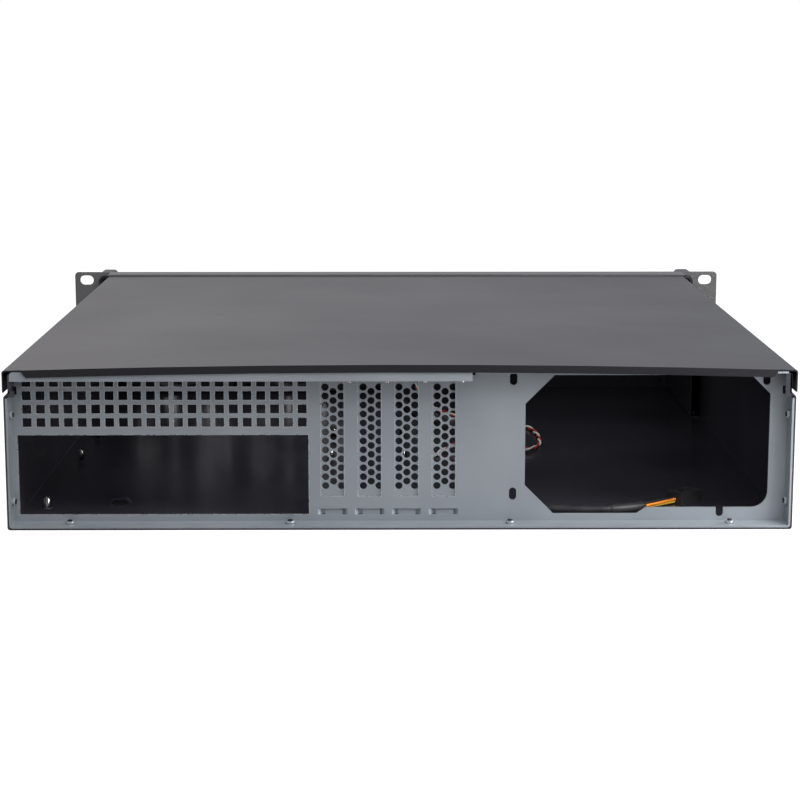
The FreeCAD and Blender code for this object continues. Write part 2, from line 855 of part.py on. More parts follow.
def psu_cutout():
    """Power supply cut-out and its screw slots."""
    step_up = cutout_low + cutout_step
    corners = [
        (cutout_left, cutout_low + cutout_chamfer, 0), (cutout_left + cutout_chamfer, cutout_low, 0),
        (cutout_step_x, cutout_low, 0), (cutout_step_x + cutout_step_run, step_up, 0),
        (cutout_right, step_up, cutout_round), (cutout_right, cutout_top - cutout_small_chamfer, 0),
        (cutout_right - cutout_small_chamfer, cutout_top, 0), (cutout_left + cutout_chamfer, cutout_top, 0),
        (cutout_left, cutout_top - cutout_chamfer, 0),
    ]
    points = [psu_point(across, up) for across, up, radius in corners]
    radii = [radius for across, up, radius in corners]
    depth = V(0, zinc_sheet + 2, 0)
    tools = [plate(points, radii, in_xz(face_front - 1), depth)]
    low = floor_top + psu_hole_edge + psu_low_hole_drop
    for across, up in ((0, 0), (0, psu_hole_spacing_z), (psu_hole_spacing_x, psu_hole_spacing_z)):
        x = psu_left - psu_hole_edge - across
        tools.append(slot_hole((x, face_front - 1, low + up), psu_slot_length, psu_slot_width, (0, 0, 1),
                               tuple(depth)))
    x = psu_left - psu_hole_edge - psu_low_hole_x
    z = low - psu_low_hole_drop
    half = psu_slot_width / 2
    z -= psu_open_slot_drop
    tools.append(rod(half, (x, face_front - 1, z), (x, face_rear + 1, z)))
    tools.append(box(x - half, x + half, face_front - 1, face_rear + 1, z, floor_top + step_up + 1))
    return tools


def slot_screw_places():
    """Screws on the ledge that clamp the slot covers' tabs, each beside its slot."""
    return [(x - slot_screw_offset, rear_y - slot_screw_from_edge) for x in slot_centres()]


def slot_cover(index):
    """Perforated slot cover: strip, tab on the ledge, and tongue in the strap below."""
    x = slot_centres()[index] + slot_play[index]
    half = cover_strip_width / 2
    top = ledge_underside + zinc_sheet + cover_strip_sheet
    bottom = bridge_low - tongue_below_strap
    shoulder = bottom + tongue_length
    tongue = tongue_width / 2
    points = [
        (x - tongue, bottom), (x + tongue, bottom), (x + tongue, shoulder - shoulder_slant), (x + half,
                                                                                              shoulder),
        (x + half, top), (x - half, top), (x - half, shoulder), (x - tongue, shoulder - shoulder_slant),
    ]
    back = face_front - cover_strip_sheet
    strip = plate(points, (tongue_corner, tongue_corner, 0, 0, 0, 0, 0, 0), in_xz(back),
                  V(0, cover_strip_sheet, 0))
    tab_end = rear_y - zinc_sheet - tab_lip_gap
    tab = box(x - half, x + half, back, tab_end, top - cover_strip_sheet, top)
    tools = []
    column_step = hole_pitch * math.sqrt(0.75)
    for column in (-1, 0, 1):
        rows = hole_rows if column else hole_rows - 1
        lift = 0 if column else hole_pitch / 2
        for row in range(rows):
            tools.append(vent_prism(x + column * column_step, first_hole_z + lift + row * hole_pitch, back))
    for screw_x, screw_y in slot_screw_places():
        centre = (screw_x, screw_y, top - 2)
        tools.append(slot_hole(centre, tab_notch_length, tab_notch_width, (1, 0, 0), (0, 0, 4)))
    return join([strip, tab]).cut(tools)


def vent_prism(x, z, back):
    """Cutter for one hexagonal perforation, measured across its flats."""
    radius = hole_diameter / math.sqrt(3)
    points = []
    for i in range(7):
        angle = math.radians(60 * i)
        points.append(V(x + radius * math.cos(angle), back - 1, z + radius * math.sin(angle)))
    return Part.Face(Part.makePolygon(points)).extrude(V(0, cover_strip_sheet + 2, 0))


def front_panel():
    """Flat panel with rack ears, vent fields, openings and a return over the cover's front edge."""
    half = panel_width / 2
    points = [(-half, panel_bottom), (half, panel_bottom), (half, panel_top), (-half, panel_top)]
    flat = plate(points, (ear_corner_radius,) * 4, in_xz(panel_front), V(0, panel_thickness, 0))
    edge = half_width + return_overhang
    top = box(-edge, edge, panel_front + return_start, panel_back + return_depth, panel_top - return_sheet,
              panel_top)
    tools = front_openings(panel_front - 1, panel_back + 1)
    middle = (panel_bottom + panel_top) / 2
    for side in (-1, 1):
        for up in (-1, 1):
            centre = (side * ear_slot_spacing_x / 2, panel_front - 1, middle + up * ear_slot_spacing_z / 2)
            depth = (0, panel_thickness + 2, 0)
            tools.append(slot_hole(centre, ear_slot_length, ear_slot_width, (1, 0, 0), depth))
    for x in fan_places:
        for i in range(vent_slot_count):
            slot_x = x + (i - (vent_slot_count - 1) / 2) * vent_slot_pitch
            depth = (0, panel_thickness + 2, 0)
            centre = (slot_x, panel_front - 1, fan_middle)
            tools.append(slot_hole(centre, fan_size - vent_slot_margin, vent_slot_width, (0, 0, 1), depth))
    for seat, axis in panel_screw_seats() + fan_screw_seats():
        tools.append(flat_head_hole(seat, axis, panel_thickness + 1))
    for x, z in handle_screw_places():
        tools.append(rod(handle_screw_radius, (x, panel_front - 1, z), (x, panel_back + 1, z)))
    return join([flat, top]).cut(tools)


def handle(side):
    """Full-height pull with rounded bar, screwed on from behind."""
    x0 = side * handle_x - handle_width / 2
    low = panel_bottom + handle_low_gap
    high = panel_top - handle_top_gap
    front = panel_front - handle_reach
    bar = handle_bar
    outer = [(panel_front, low), (front, low), (front, high), (panel_front, high)]
    inner = [
        (panel_front + 1, low + bar), (front + bar, low + bar), (front + bar,
                                                                 high - bar), (panel_front + 1, high - bar),
    ]
    body = plate(outer, (0, handle_corner, handle_corner, 0), in_yz(x0), V(handle_width, 0, 0))
    inner_radius = handle_corner - handle_bar / 2
    gap = plate(inner, (0, inner_radius, inner_radius, 0), in_yz(x0 - 1), V(handle_width + 2, 0, 0))
    body = body.cut(gap)
    rims = []
    for edge in body.Edges:
        box_x = edge.BoundBox
        flat_side = box_x.XLength < 1e-6
        at_panel = box_x.YMin > panel_front - 1e-6
        if flat_side and not at_panel:
            rims.append(edge)
    body = body.makeFillet(handle_edge, rims)
    tools = []
    for x, z in handle_screw_places():
        if x * side > 0:
            tools.append(rod(handle_screw_radius, (x, panel_front - handle_thread_depth, z),
                             (x, panel_front + 1, z)))
    return body.cut(tools)


def handle_screws():
    """Four screws that hold the handles from behind the panel."""
    screws = []
    for x, z in handle_screw_places():
        shank_end = panel_front - handle_thread_depth + handle_thread_clearance
        shank = rod(handle_screw_radius - screw_thread_gap, (x, panel_back, z), (x, shank_end, z))
        head = rod(handle_head_radius, (x, panel_back, z), (x, panel_back + handle_head_height, z))
        socket = rod(handle_socket_radius, (x, panel_back + handle_socket_start, z),
                     (x, panel_back + handle_head_height + 1, z))
        rim = [edge for edge in head.Edges if edge.Closed and edge.BoundBox.YMin > panel_back + 1]
        head = head.makeChamfer(handle_head_edge, rim)
        screws.append(join([shank, head]).cut(socket))
    return group(screws)


def fan_frame(x):
    """Square fan housing with duct, corner holes, struts, boss and bearing tube."""
    half = fan_size / 2
    y0 = wall_back
    y1 = wall_back + fan_depth
    z = fan_middle
    points = [(x - half, z - half), (x + half, z - half), (x + half, z + half), (x - half, z + half)]
    radii = (fan_corner,) * 4
    body = plate(points, radii, in_xz(y0), V(0, fan_depth, 0))
    duct = rod(fan_duct_radius, (x, y0 - 1, z), (x, y1 + 1, z))
    waist = body.cut(rod(fan_duct_radius + fan_web / 2, (x, y0, z), (x, y1, z)))
    waist = waist.common(box(x - half, x + half, y0 + fan_web, y1 - fan_web, z - half, z + half))
    body = body.cut([duct, waist])
    boss_front = y1 - fan_boss_depth
    boss = rod(fan_boss_radius, (x, boss_front, z), (x, y1, z))
    tube = rod(fan_tube_radius, (x, y0 + fan_tube_start, z), (x, boss_front + 0.5, z))
    strut = box(fan_boss_radius - 1, fan_duct_radius + 1, -fan_strut / 2, fan_strut / 2, 0, fan_boss_depth)
    struts = []
    for i in range(4):
        arm = strut.copy()
        arm.rotate(V(0, 0, 0), V(0, 0, 1), fan_strut_turn + 90 * i)
        arm.rotate(V(0, 0, 0), V(1, 0, 0), -90)
        arm.translate(V(x, boss_front, z))
        struts.append(arm)
    low = fan_channel_z - fan_channel_height / 2
    channel = box(x - half, x - half / 2, y0 + fan_web, y1 - fan_web, low, low + fan_channel_height)
    body = join([body, boss, tube, channel.cut(duct)] + struts)
    bore = rod(fan_shaft_radius + fan_shaft_gap, (x, y0 - 1, z), (x, y1 - fan_back_wall, z))
    tools = [bore]
    spread = fan_hole_spacing / 2
    for i in (-1, 1):
        for j in (-1, 1):
            tools.append(rod(screw_radius, (x + i * spread, y0 - 1, z + j * spread),
                             (x + i * spread, y1 + 1, z + j * spread)))
    return body.cut(tools)


def fan_blade():
    """One twisted blade from hub to tip, about the Y axis, starting in the +X direction."""
    tip = fan_duct_radius - fan_blade_gap
    root = fan_hub_radius - fan_root_sink - 0.1
    sections = []
    for radius, angle, chord in ((root, fan_root_angle, fan_root_chord),
                                 (tip, fan_tip_angle, fan_tip_chord)):
        tilt = math.radians(angle)
        along = V(0, math.sin(tilt), math.cos(tilt))
        across = V(0, math.cos(tilt), -math.sin(tilt))
        a = along * (chord / 2)
        b = across * (fan_blade_sheet / 2)
        centre = V(radius, 0, 0)
        corners = [centre - a - b, centre + a - b, centre + a + b, centre - a + b, centre - a - b]
        sections.append(Part.makePolygon(corners))
    blade = Part.makeLoft(sections, True, True)
    return blade.common(Part.makeCylinder(tip, 40, V(0, -20, 0), V(0, 1, 0)))


def fan_rotor(x):
    """Hub cup with shaft and twisted blades."""
    hub_front = wall_back + fan_hub_start
    hub_back = wall_back + fan_depth - fan_boss_depth - fan_hub_back_gap
    z = fan_middle
    cup = rod(fan_hub_radius, (x, hub_front, z), (x, hub_back, z))
    rim = [edge for edge in cup.Edges if edge.Closed and edge.BoundBox.YMax < hub_front + 1]
    cup = cup.makeChamfer(fan_hub_edge, rim)
    hollow = rod(fan_hub_radius - fan_hub_wall, (x, hub_front + fan_hub_wall, z), (x, hub_back + 1, z))
    shaft = rod(fan_shaft_radius, (x, hub_front + 1, z), (x, wall_back + fan_depth - 2 * fan_back_wall, z))
    blade = fan_blade()
    blades = []
    for i in range(fan_blade_count):
        one = blade.copy()
        one.rotate(V(0, 0, 0), V(0, 1, 0), 360.0 * i / fan_blade_count)
        one.translate(V(x, (hub_front + hub_back) / 2, z))
        blades.append(one)
    core = rod(fan_hub_radius - fan_root_sink, (x, panel_back, z), (x, wall_back + fan_depth, z))
    return join([cup.cut(hollow), shaft] + [one.cut(core) for one in blades])


def cage_screw_seats():
    """Screws through the drive cage's feet: (x, y)."""
    seats = []
    outer = cage_outer - bend_radius - sheet_gap - pan_head_radius
    for x in (outer, cage_inner + cage_foot / 2):
        for back in (cage_screw_inset, cage_depth - cage_screw_inset):
            seats.append((x, cage_front + back))
    return seats


def drive_cage():
    """Two slotted walls with feet, joined by the shelf under the drive bay."""
    depth = V(0, cage_depth, 0)
    outer_path = [(cage_outer - cage_outer_foot, floor_top), (cage_outer + cage_sheet, floor_top),
                  (cage_outer + cage_sheet, bay_top)]
    inner_path = [(cage_inner - cage_sheet, bay_top), (cage_inner - cage_sheet, floor_top),
                  (cage_inner + cage_foot, floor_top)]
    walls = [folded(path, cage_sheet, in_xz(cage_front), depth) for path in (outer_path, inner_path)]
    back = cage_front + cage_depth
    shelf = box(cage_outer, cage_inner, cage_front, back, bay_bottom - cage_sheet, bay_bottom)
    cage = join(walls + [shelf])
    tools = []
    for x in (cage_outer, cage_inner - cage_sheet):
        for z in cage_slot_heights:
            for inset in cage_slot_insets:
                centre = (x - 1, cage_front + inset, z)
                through = (cage_sheet + 2, 0, 0)
                tools.append(slot_hole(centre, cage_slot_length, cage_slot_width, (0, 1, 0), through))
    rim = cage_shelf_window
    window = box(cage_outer + rim, cage_inner - rim, cage_front + rim, back - rim, bay_bottom - 3,
                 bay_bottom + 1)
    tools.append(window)
    for x, y in cage_screw_seats():
        tools.append(rod(screw_radius, (x, y, 0), (x, y, floor_top + 4)))
    return cage.cut(tools)


def bay_cover():
    """Plastic blank that fills the drive bay opening, with two side tongues."""
    x0 = cage_outer + cage_sheet + bay_cover_gap
    x1 = cage_inner - cage_sheet - bay_cover_gap
    z0 = bay_bottom + bay_cover_gap
    z1 = bay_top - bay_cover_gap
    front = panel_front - bay_cover_front
    back = front + bay_cover_depth
    block = box(x0, x1, front, back, z0, z1)
    rims = [e for e in block.Edges if e.BoundBox.YMax < front + 1e-6]
    block = block.makeFillet(bay_cover_edge, rims)
    wall = bay_cover_wall
    hollow = box(x0 + wall, x1 - wall, front + wall, back + 1, z0 + wall, z1 - wall)
    cover = block.cut(hollow)
    ribs = []
    for i in range(bay_rib_count):
        x = x0 + (x1 - x0) * (i + 1) / (bay_rib_count + 1)
        half = bay_rib_sheet / 2
        ribs.append(box(x - half, x + half, front + 1, back - bay_rib_from_back, z0 + 1, z1 - 1))
    grooves = []
    for i in (-1, 0, 1):
        z = (z0 + z1) / 2 + i * bay_groove_spacing
        half = bay_groove_width / 2
        inset = bay_groove_inset
        grooves.append(box(x0 + inset, x1 - inset, front - 1, front + bay_groove_depth, z - half, z + half))
    tongues = []
    for side, edge in ((-1, x0), (1, x1)):
        outer = edge + side * bay_cover_gap
        start = cage_front + bay_tongue_gap
        end = back - bay_tongue_gap
        low = z0 + bay_tongue_inset
        high = z1 - bay_tongue_inset
        tongues.append(box(min(edge, outer), max(edge, outer), start, end, low, high))
    return join([cover] + ribs + tongues).cut(grooves)


def standoffs():
    """Nine hexagonal posts with a threaded hole, pressed into the floor."""
    posts = []
    radius = standoff_across / math.sqrt(3)
    top = floor_top + standoff_height
    for x, y in standoff_places():
        points = []
        for i in range(7):
            angle = math.radians(60 * i)
            points.append(V(x + radius * math.cos(angle), y + radius * math.sin(angle), floor_top))
        post = Part.Face(Part.makePolygon(points)).extrude(V(0, 0, standoff_height))
        spigot = rod(screw_radius - screw_thread_gap, (x, y, spigot_from_below), (x, y, floor_top + 0.5))
        thread = rod(standoff_thread, (x, y, top - standoff_thread_depth), (x, y, top + 1))
        posts.append(join([post, spigot]).cut(thread))
    return group(posts)


def button(x, z, radius):
    """Push button with a domed cap, a retaining rim and a stem."""
    cap = rod(radius, (x, panel_front - button_proud, z), (x, wall_back + 1, z))
    cap = cap.makeChamfer(button_edge, [e for e in cap.Edges if e.Closed and e.BoundBox.YMax < panel_front])
    rim_front = wall_back + sheet_gap
    rim = rod(radius + button_rim, (x, rim_front, z), (x, rim_front + button_rim_sheet, z))
    tip = switch_board_front - switch_depth + switch_engage
    stem = rod(stem_radius, (x, rim_front, z), (x, tip, z))
    return join([cap, rim, stem])


def lamp(z):
    """Round indicator with a domed end, soldered to the board behind."""
    tip = panel_front - lamp_proud
    body = rod(lamp_radius, (lamp_x, tip + lamp_radius, z), (lamp_x, switch_board_front, z))
    dome = Part.makeSphere(lamp_radius, V(lamp_x, tip + lamp_radius, z))
    start = switch_board_front - lamp_collar_sheet
    collar = rod(lamp_radius + lamp_collar, (lamp_x, start, z), (lamp_x, switch_board_front, z))
    return join([body, dome, collar])


def usb_ports():
    """Two socket shells with their tongues, standing on the board behind the panel."""
    ports = []
    for x in usb_places:
        half = usb_width / 2
        rise = usb_height / 2
        front = panel_front + usb_recess
        back = switch_board_front
        shell = box(x - half, x + half, front, back, usb_z - rise, usb_z + rise)
        half_inside = half - usb_wall
        rise_inside = rise - usb_wall
        hollow = box(x - half_inside, x + half_inside, front - 1, back - usb_back_wall,
                     usb_z - rise_inside, usb_z + rise_inside)
        half_tongue = half - usb_tongue_inset
        low = usb_z + usb_tongue_rise
        tongue = box(x - half_tongue, x + half_tongue, front + usb_tongue_recess, back - 1,
                     low, low + usb_tongue_sheet)
        ports.append(join([shell.cut(hollow), tongue]))
    return group(ports)


def switch_board():
    """Circuit board for switches, lamps and sockets, with its two switch bodies and lead header."""
    parts = [box(switch_board_left, switch_board_right, switch_board_front, switch_board_back,
                 switch_board_low, switch_board_high)]
    bores = []
    front = switch_board_front - switch_depth
    bore_end = front + switch_engage + button_travel + 2 * sheet_gap
    for x, z in ((power_x, power_z), (reset_x, power_z)):
        half = switch_body / 2
        parts.append(box(x - half, x + half, front, switch_board_front, z - half, z + half))
        bores.append(rod(stem_radius + sheet_gap, (x, front - 1, z), (x, bore_end, z)))
    x, y, z = panel_lead_start
    half = header_width / 2
    rise = header_height / 2
    parts.append(box(x - half, x + half, switch_board_back, y, z - rise, z + rise))
    return join(parts).cut(bores)


def switch_bracket():
    """Two folded arms that hold the board's lower and upper edges off the front wall."""
    return group([bracket_arm(switch_board_low, -1), bracket_arm(switch_board_high, 1)])


def bracket_arm(edge, out):
    """One arm: foot on the wall, shelf along the board's edge, and two hooks behind the board."""
    sheet = bracket_sheet
    left = switch_board_left
    right = switch_board_right
    near = sorted((edge, edge + out * sheet))
    foot = sorted((edge, edge + out * bracket_foot))
    hook = sorted((edge + out * sheet, edge - out * bracket_hook_reach))
    arm = [
        box(left, right, wall_back, switch_board_back + sheet, near[0], near[1]),
        box(left, right, wall_back, wall_back + sheet, foot[0], foot[1]),
    ]
    for start in (left, right - bracket_hook):
        end = start + bracket_hook
        arm.append(box(start, end, switch_board_back, switch_board_back + sheet, hook[0], hook[1]))
    return join(arm)


def rear_of(distance):
    """Y of a place this far in from the rear edge."""
    return rear_y - distance


fan_lead_rest = floor_top + fan_lead_diameter / 2 + sheet_gap
panel_lead_rest = floor_top + panel_lead_diameter / 2 + sheet_gap
fan_lead_start = (fan_places[0] - fan_size / 2, wall_back + fan_depth / 2 - 0.5, fan_channel_z)
panel_lead_start = (switch_board_left + header_place, switch_board_back + header_depth, header_z)
lead_crossing = fan_lead_rest + fan_lead_diameter / 2 + panel_lead_diameter / 2 + 1.2

fan_lead_route = [
    fan_lead_start,
    (fan_lead_start[0] - 14.0, fan_lead_start[1], fan_channel_z),
    (fan_lead_start[0] - 27.0, fan_lead_start[1] + 12.0, 4.6),
    (fan_lead_start[0] - 35.0, fan_lead_start[1] + 34.0, fan_lead_rest),
    (fan_lead_start[0] - 40.0, fan_lead_start[1] + 72.0, fan_lead_rest),
    (fan_lead_start[0] - 49.0, fan_lead_start[1] + 112.0, fan_lead_rest),
    (-30.0, wall_back + 166.0, fan_lead_rest),
    (-44.0, wall_back + 212.0, fan_lead_rest),
    (-47.5, rear_of(186.0), fan_lead_rest),
    (-46.0, rear_of(136.0), fan_lead_rest),
    (-48.5, rear_of(90.0), fan_lead_rest),
    (-57.0, rear_of(56.0), fan_lead_rest),
    (-76.0, rear_of(37.0), fan_lead_rest),
    (-100.0, rear_of(32.4), fan_lead_rest),
    (-124.0, rear_of(34.6), fan_lead_rest),
    (-143.0, rear_of(46.0), fan_lead_rest),
    (-157.0, rear_of(58.0), fan_lead_rest),
]
panel_lead_route = [
    panel_lead_start,
    (panel_lead_start[0], panel_lead_start[1] + 16.0, header_z),
    (panel_lead_start[0] - 2.0, panel_lead_start[1] + 32.0, 15.0),
    (panel_lead_start[0] - 6.0, panel_lead_start[1] + 50.0, 4.6),
    (panel_lead_start[0] - 13.0, panel_lead_start[1] + 72.0, panel_lead_rest),
    (panel_lead_start[0] - 24.0, panel_lead_start[1] + 100.0, panel_lead_rest),
    (-52.0, rear_of(304.0), panel_lead_rest),
    (-76.0, rear_of(300.0), panel_lead_rest),
    (-94.0, rear_of(283.0), panel_lead_rest),
    (-99.0, rear_of(252.0), panel_lead_rest),
    (-95.0, rear_of(222.0), panel_lead_rest),
    (-80.0, rear_of(203.0), 4.4),
    (-60.0, rear_of(203.0), lead_crossing),
    (-42.0, rear_of(209.0), lead_crossing),
    (-31.0, rear_of(205.0), 3.4),
    (-24.0, rear_of(193.0), panel_lead_rest),
    (-20.5, rear_of(180.0), panel_lead_rest),
]


def tube(route, diameter, name):
    """Round tube along straight runs joined by tangent arcs; prints its radii and checks its volume."""
    points = [V(*point) for point in route]
    edges = []
    start = points[0]
    radii = []
    for before, corner, after in zip(points, points[1:], points[2:]):
        arriving = corner - before
        leaving = after - corner
        shorter = min(arriving.Length, leaving.Length)
        half_turn = arriving.getAngle(leaving) / 2
        radius = 0.45 * shorter / math.tan(half_turn)
        radii.append(radius)
        arriving.normalize()
        leaving.normalize()
        enter = corner - arriving * (0.45 * shorter)
        leave = corner + leaving * (0.45 * shorter)
        inward = leaving - arriving
        inward.normalize()
        middle = corner + inward * (radius / math.cos(half_turn) - radius)
        edges.append(Part.LineSegment(start, enter).toShape())
        edges.append(Part.Arc(enter, middle, leave).toShape())
        start = leave
    edges.append(Part.LineSegment(start, points[-1]).toShape())
    path = Part.Wire(edges)
    first = points[1] - points[0]
    ring = Part.Wire([Part.makeCircle(diameter / 2, points[0], first)])
    body = path.makePipeShell([ring], True, False)
    length = path.Length
    expected = math.pi * diameter ** 2 / 4 * length
    print(name, "radii", [round(radius, 1) for radius in radii], "length", round(length, 1),
          "volume ratio", round(body.Volume / expected, 4))
    return body


def plug(route, length, width, height):
    """Connector block in line with the lead's last run, standing on the floor."""
    end = V(*route[-1])
    run = end - V(*route[-2])
    angle = math.degrees(math.atan2(run.y, run.x))
    block = box(0, length, -width / 2, width / 2, floor_top, floor_top + height)
    top = floor_top + height
    latch_start = length * latch_start_share
    latch_end = length * latch_end_share
    latch = box(latch_start, latch_end, -width / 4, width / 4, top, top + latch_height)
    body = join([block, latch])
    body.rotate(V(0, 0, 0), V(0, 0, 1), angle)
    body.translate(V(end.x, end.y, 0))
    return body


def build():
    """Every node of the case by name."""
    nodes = {
        "base_tray": base_tray(),
        "front_wall": front_wall(),
        "rear_panel": rear_panel(),
        "top_cover": top_cover(),
        "front_panel": front_panel(),
        "left_handle": handle(-1),
        "right_handle": handle(1),
        "handle_screws": handle_screws(),
        "drive_cage": drive_cage(),
        "bay_cover": bay_cover(),
        "mainboard_standoffs": standoffs(),
        "power_button": button(power_x, power_z, power_radius),
        "reset_button": button(reset_x, power_z, reset_radius),
        "power_lamp": lamp(lamp_heights[0]),
        "drive_lamp": lamp(lamp_heights[1]),
        "usb_ports": usb_ports(),
        "switch_board": switch_board(),
        "switch_bracket": switch_bracket(),
    }
    for index in range(slot_count):
        nodes["slot_cover_%d" % (index + 1)] = slot_cover(index)
    for index, x in enumerate(fan_places):
        nodes["fan_%d_frame" % (index + 1)] = fan_frame(x)
        nodes["fan_%d_rotor" % (index + 1)] = fan_rotor(x)
    seats = rear_screws()
    nodes["rear_panel_screws"] = group([flat_head_screw(seat, axis, rear_screw_length) for seat,
                                        axis in seats])
    seats = cover_screw_seats()
    nodes["cover_screws"] = group([pan_head_screw(seat, axis, cover_screw_length) for seat, axis in seats])
    seats = panel_screw_seats()
    length = panel_thickness + tray_sheet
    nodes["front_panel_screws"] = group([flat_head_screw(seat, axis, length) for seat, axis in seats])
    seats = fan_screw_seats()
    nodes["fan_screws"] = group([flat_head_screw(seat, axis, fan_screw_length) for seat, axis in seats])
    seats = [(x, y, ledge_underside + zinc_sheet + cover_strip_sheet) for x, y in slot_screw_places()]
    nodes["slot_cover_screws"] = group([pan_head_screw(seat, (0, 0, -1),
                                                       slot_screw_length) for seat in seats])
    seats = [(x, y, floor_top + cage_sheet) for x, y in cage_screw_seats()]
    nodes["drive_cage_screws"] = group([pan_head_screw(seat, (0, 0, -1),
                                                       cage_screw_length) for seat in seats])
    nodes["fan_lead"] = tube(fan_lead_route, fan_lead_diameter, "fan_lead")
    nodes["fan_plug"] = plug(fan_lead_route, fan_plug_length, fan_plug_width, fan_plug_height)
    nodes["panel_lead"] = tube(panel_lead_route, panel_lead_diameter, "panel_lead")
    nodes["panel_lead_plug"] = plug(panel_lead_route, lead_plug_length, lead_plug_width, lead_plug_height)
    return nodes


os.makedirs("parts", exist_ok=True)
for name, shape in build().items():
    shape.exportStep("parts/%s.step" % name)
    print(name, "solids", len(shape.Solids), "valid", shape.isValid(), "volume", round(shape.Volume, 1))
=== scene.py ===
# %% [markdown]
# # An empty 2U server case
# A rack case is folded sheet metal: a black tray, a zinc-plated rear panel with openings for the
# computer's parts, a dark cover that slides off, and a flat front panel with ears for the rack.
# Nothing stands inside yet, so what a viewer notices is metal: its paint, its plating and its holes.
# The construction comes in as a fixed frame.  This lesson dresses it: finishes first, then the small
# pieces that the frame leaves plain, such as screws, perforated slot covers and leads.

# %% Load the frame
import json
import math
import bmesh
import bpy
import numpy as np
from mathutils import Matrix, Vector


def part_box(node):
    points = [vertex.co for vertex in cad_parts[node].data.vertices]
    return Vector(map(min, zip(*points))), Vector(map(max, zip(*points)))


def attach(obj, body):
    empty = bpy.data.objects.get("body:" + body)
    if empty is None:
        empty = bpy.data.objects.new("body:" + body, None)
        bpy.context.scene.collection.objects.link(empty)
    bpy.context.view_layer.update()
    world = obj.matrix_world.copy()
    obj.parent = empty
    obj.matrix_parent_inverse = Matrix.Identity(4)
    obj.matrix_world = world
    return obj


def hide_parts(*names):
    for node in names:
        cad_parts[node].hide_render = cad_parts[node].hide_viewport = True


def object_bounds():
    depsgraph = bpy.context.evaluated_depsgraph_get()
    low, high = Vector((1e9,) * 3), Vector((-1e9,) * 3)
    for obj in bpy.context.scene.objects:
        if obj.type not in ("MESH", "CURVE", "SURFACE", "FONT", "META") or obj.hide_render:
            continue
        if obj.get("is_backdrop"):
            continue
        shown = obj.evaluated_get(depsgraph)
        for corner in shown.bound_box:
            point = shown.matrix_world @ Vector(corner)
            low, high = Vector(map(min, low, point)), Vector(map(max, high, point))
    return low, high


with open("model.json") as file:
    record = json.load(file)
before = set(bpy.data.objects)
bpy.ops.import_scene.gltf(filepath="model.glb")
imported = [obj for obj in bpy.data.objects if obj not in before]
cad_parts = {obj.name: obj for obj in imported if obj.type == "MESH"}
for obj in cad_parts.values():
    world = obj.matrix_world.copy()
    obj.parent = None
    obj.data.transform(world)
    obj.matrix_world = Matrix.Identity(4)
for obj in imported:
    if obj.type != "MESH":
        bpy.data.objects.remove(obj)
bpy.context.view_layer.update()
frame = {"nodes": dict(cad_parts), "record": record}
nodes = frame["nodes"]
MM = 0.001

# %% [markdown]
# ## The camera
# A product picture of a rear panel is taken from a little above and almost straight on.  A long lens
# keeps the side walls nearly parallel, and the small downward tilt shows the cover as a grey trapezium.

# %% Camera
CAMERA_HEIGHT = 268.2 * MM
CAMERA_DISTANCE = 1089.8 * MM
CAMERA_ASIDE = 7.35 * MM
CAMERA_TILT = 0.17828
CAMERA_TURN = 0.00664
SENSOR_WIDTH = 36.0
LENS_LENGTH = 92.58


def make_camera():
    """Camera behind the case, turned by CAMERA_TURN from the case's axis and tilted down by CAMERA_TILT."""
    data = bpy.data.cameras.new("rear_camera")
    data.sensor_width = SENSOR_WIDTH
    data.lens = LENS_LENGTH
    data.clip_start = 0.01
    data.clip_end = 50.0
    camera = bpy.data.objects.new("rear_camera", data)
    bpy.context.scene.collection.objects.link(camera)
    cover_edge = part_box("base_tray")[1][1]
    camera.location = (CAMERA_ASIDE, cover_edge + CAMERA_DISTANCE, CAMERA_HEIGHT)
    flat = math.cos(CAMERA_TILT)
    forward = Vector((-math.sin(CAMERA_TURN) * flat, -math.cos(CAMERA_TURN) * flat, -math.sin(CAMERA_TILT)))
    camera.rotation_mode = "QUATERNION"
    camera.rotation_quaternion = forward.to_track_quat("-Z", "Y")
    bpy.context.scene.camera = camera
    return camera


camera = make_camera()
print("camera at", [round(v, 3) for v in camera.location])

# %% [markdown]
# ## Studio light
# Metal shows the room more than it shows itself.  A white floor, a few soft lamps and a calm sky give
# long clean gradients on the cover and the zinc.  The sky is brightest high up on one side, beyond the
# front panel, and greyer elsewhere, because plated steel that mirrors an all-white room loses its form.
# A lamp that the glossy cover would mirror as a white patch is hidden from gloss, and a weak one under
# the roof lifts the floor of the tray out of the dark.

# %% Light and stage
SKY_MIDDLE = 0.27
SKY_SLOPE = (0.32, -0.24, 0.22)
SKY_LEFT = (1.0, 0.955, 0.985, 1.0)
SKY_RIGHT = (0.90, 0.92, 1.0, 1.0)
TINT_REACH = 0.25
MIRROR_SHARE = 0.07
FLOOR_HALF = 6.0
FLOOR_SHADE = 0.18
FLOOR_GLOW = 0.93


def new_nodes(tree):
    """Empties a node tree and returns (add, link), which add and join its nodes."""
    tree.nodes.clear()

    def add(kind, **settings):
        node = tree.nodes.new(kind)
        for key, value in settings.items():
            setattr(node, key, value)
        return node

    return add, tree.links.new


def background_share(add, link):
    """1 for rays from the eye or through glass, MIRROR_SHARE for reflections, 0 for light on the case."""
    path = add("ShaderNodeLightPath")
    first = add("ShaderNodeMath", operation="MAXIMUM")
    link(path.outputs["Is Camera Ray"], first.inputs[0])
    link(path.outputs["Is Transmission Ray"], first.inputs[1])
    mirror = add("ShaderNodeMath", operation="MULTIPLY")
    link(path.outputs["Is Glossy Ray"], mirror.inputs[0])
    mirror.inputs[1].default_value = MIRROR_SHARE
    both = add("ShaderNodeMath", operation="MAXIMUM")
    link(first.outputs[0], both.inputs[0])
    link(mirror.outputs[0], both.inputs[1])
    return both.outputs[0]


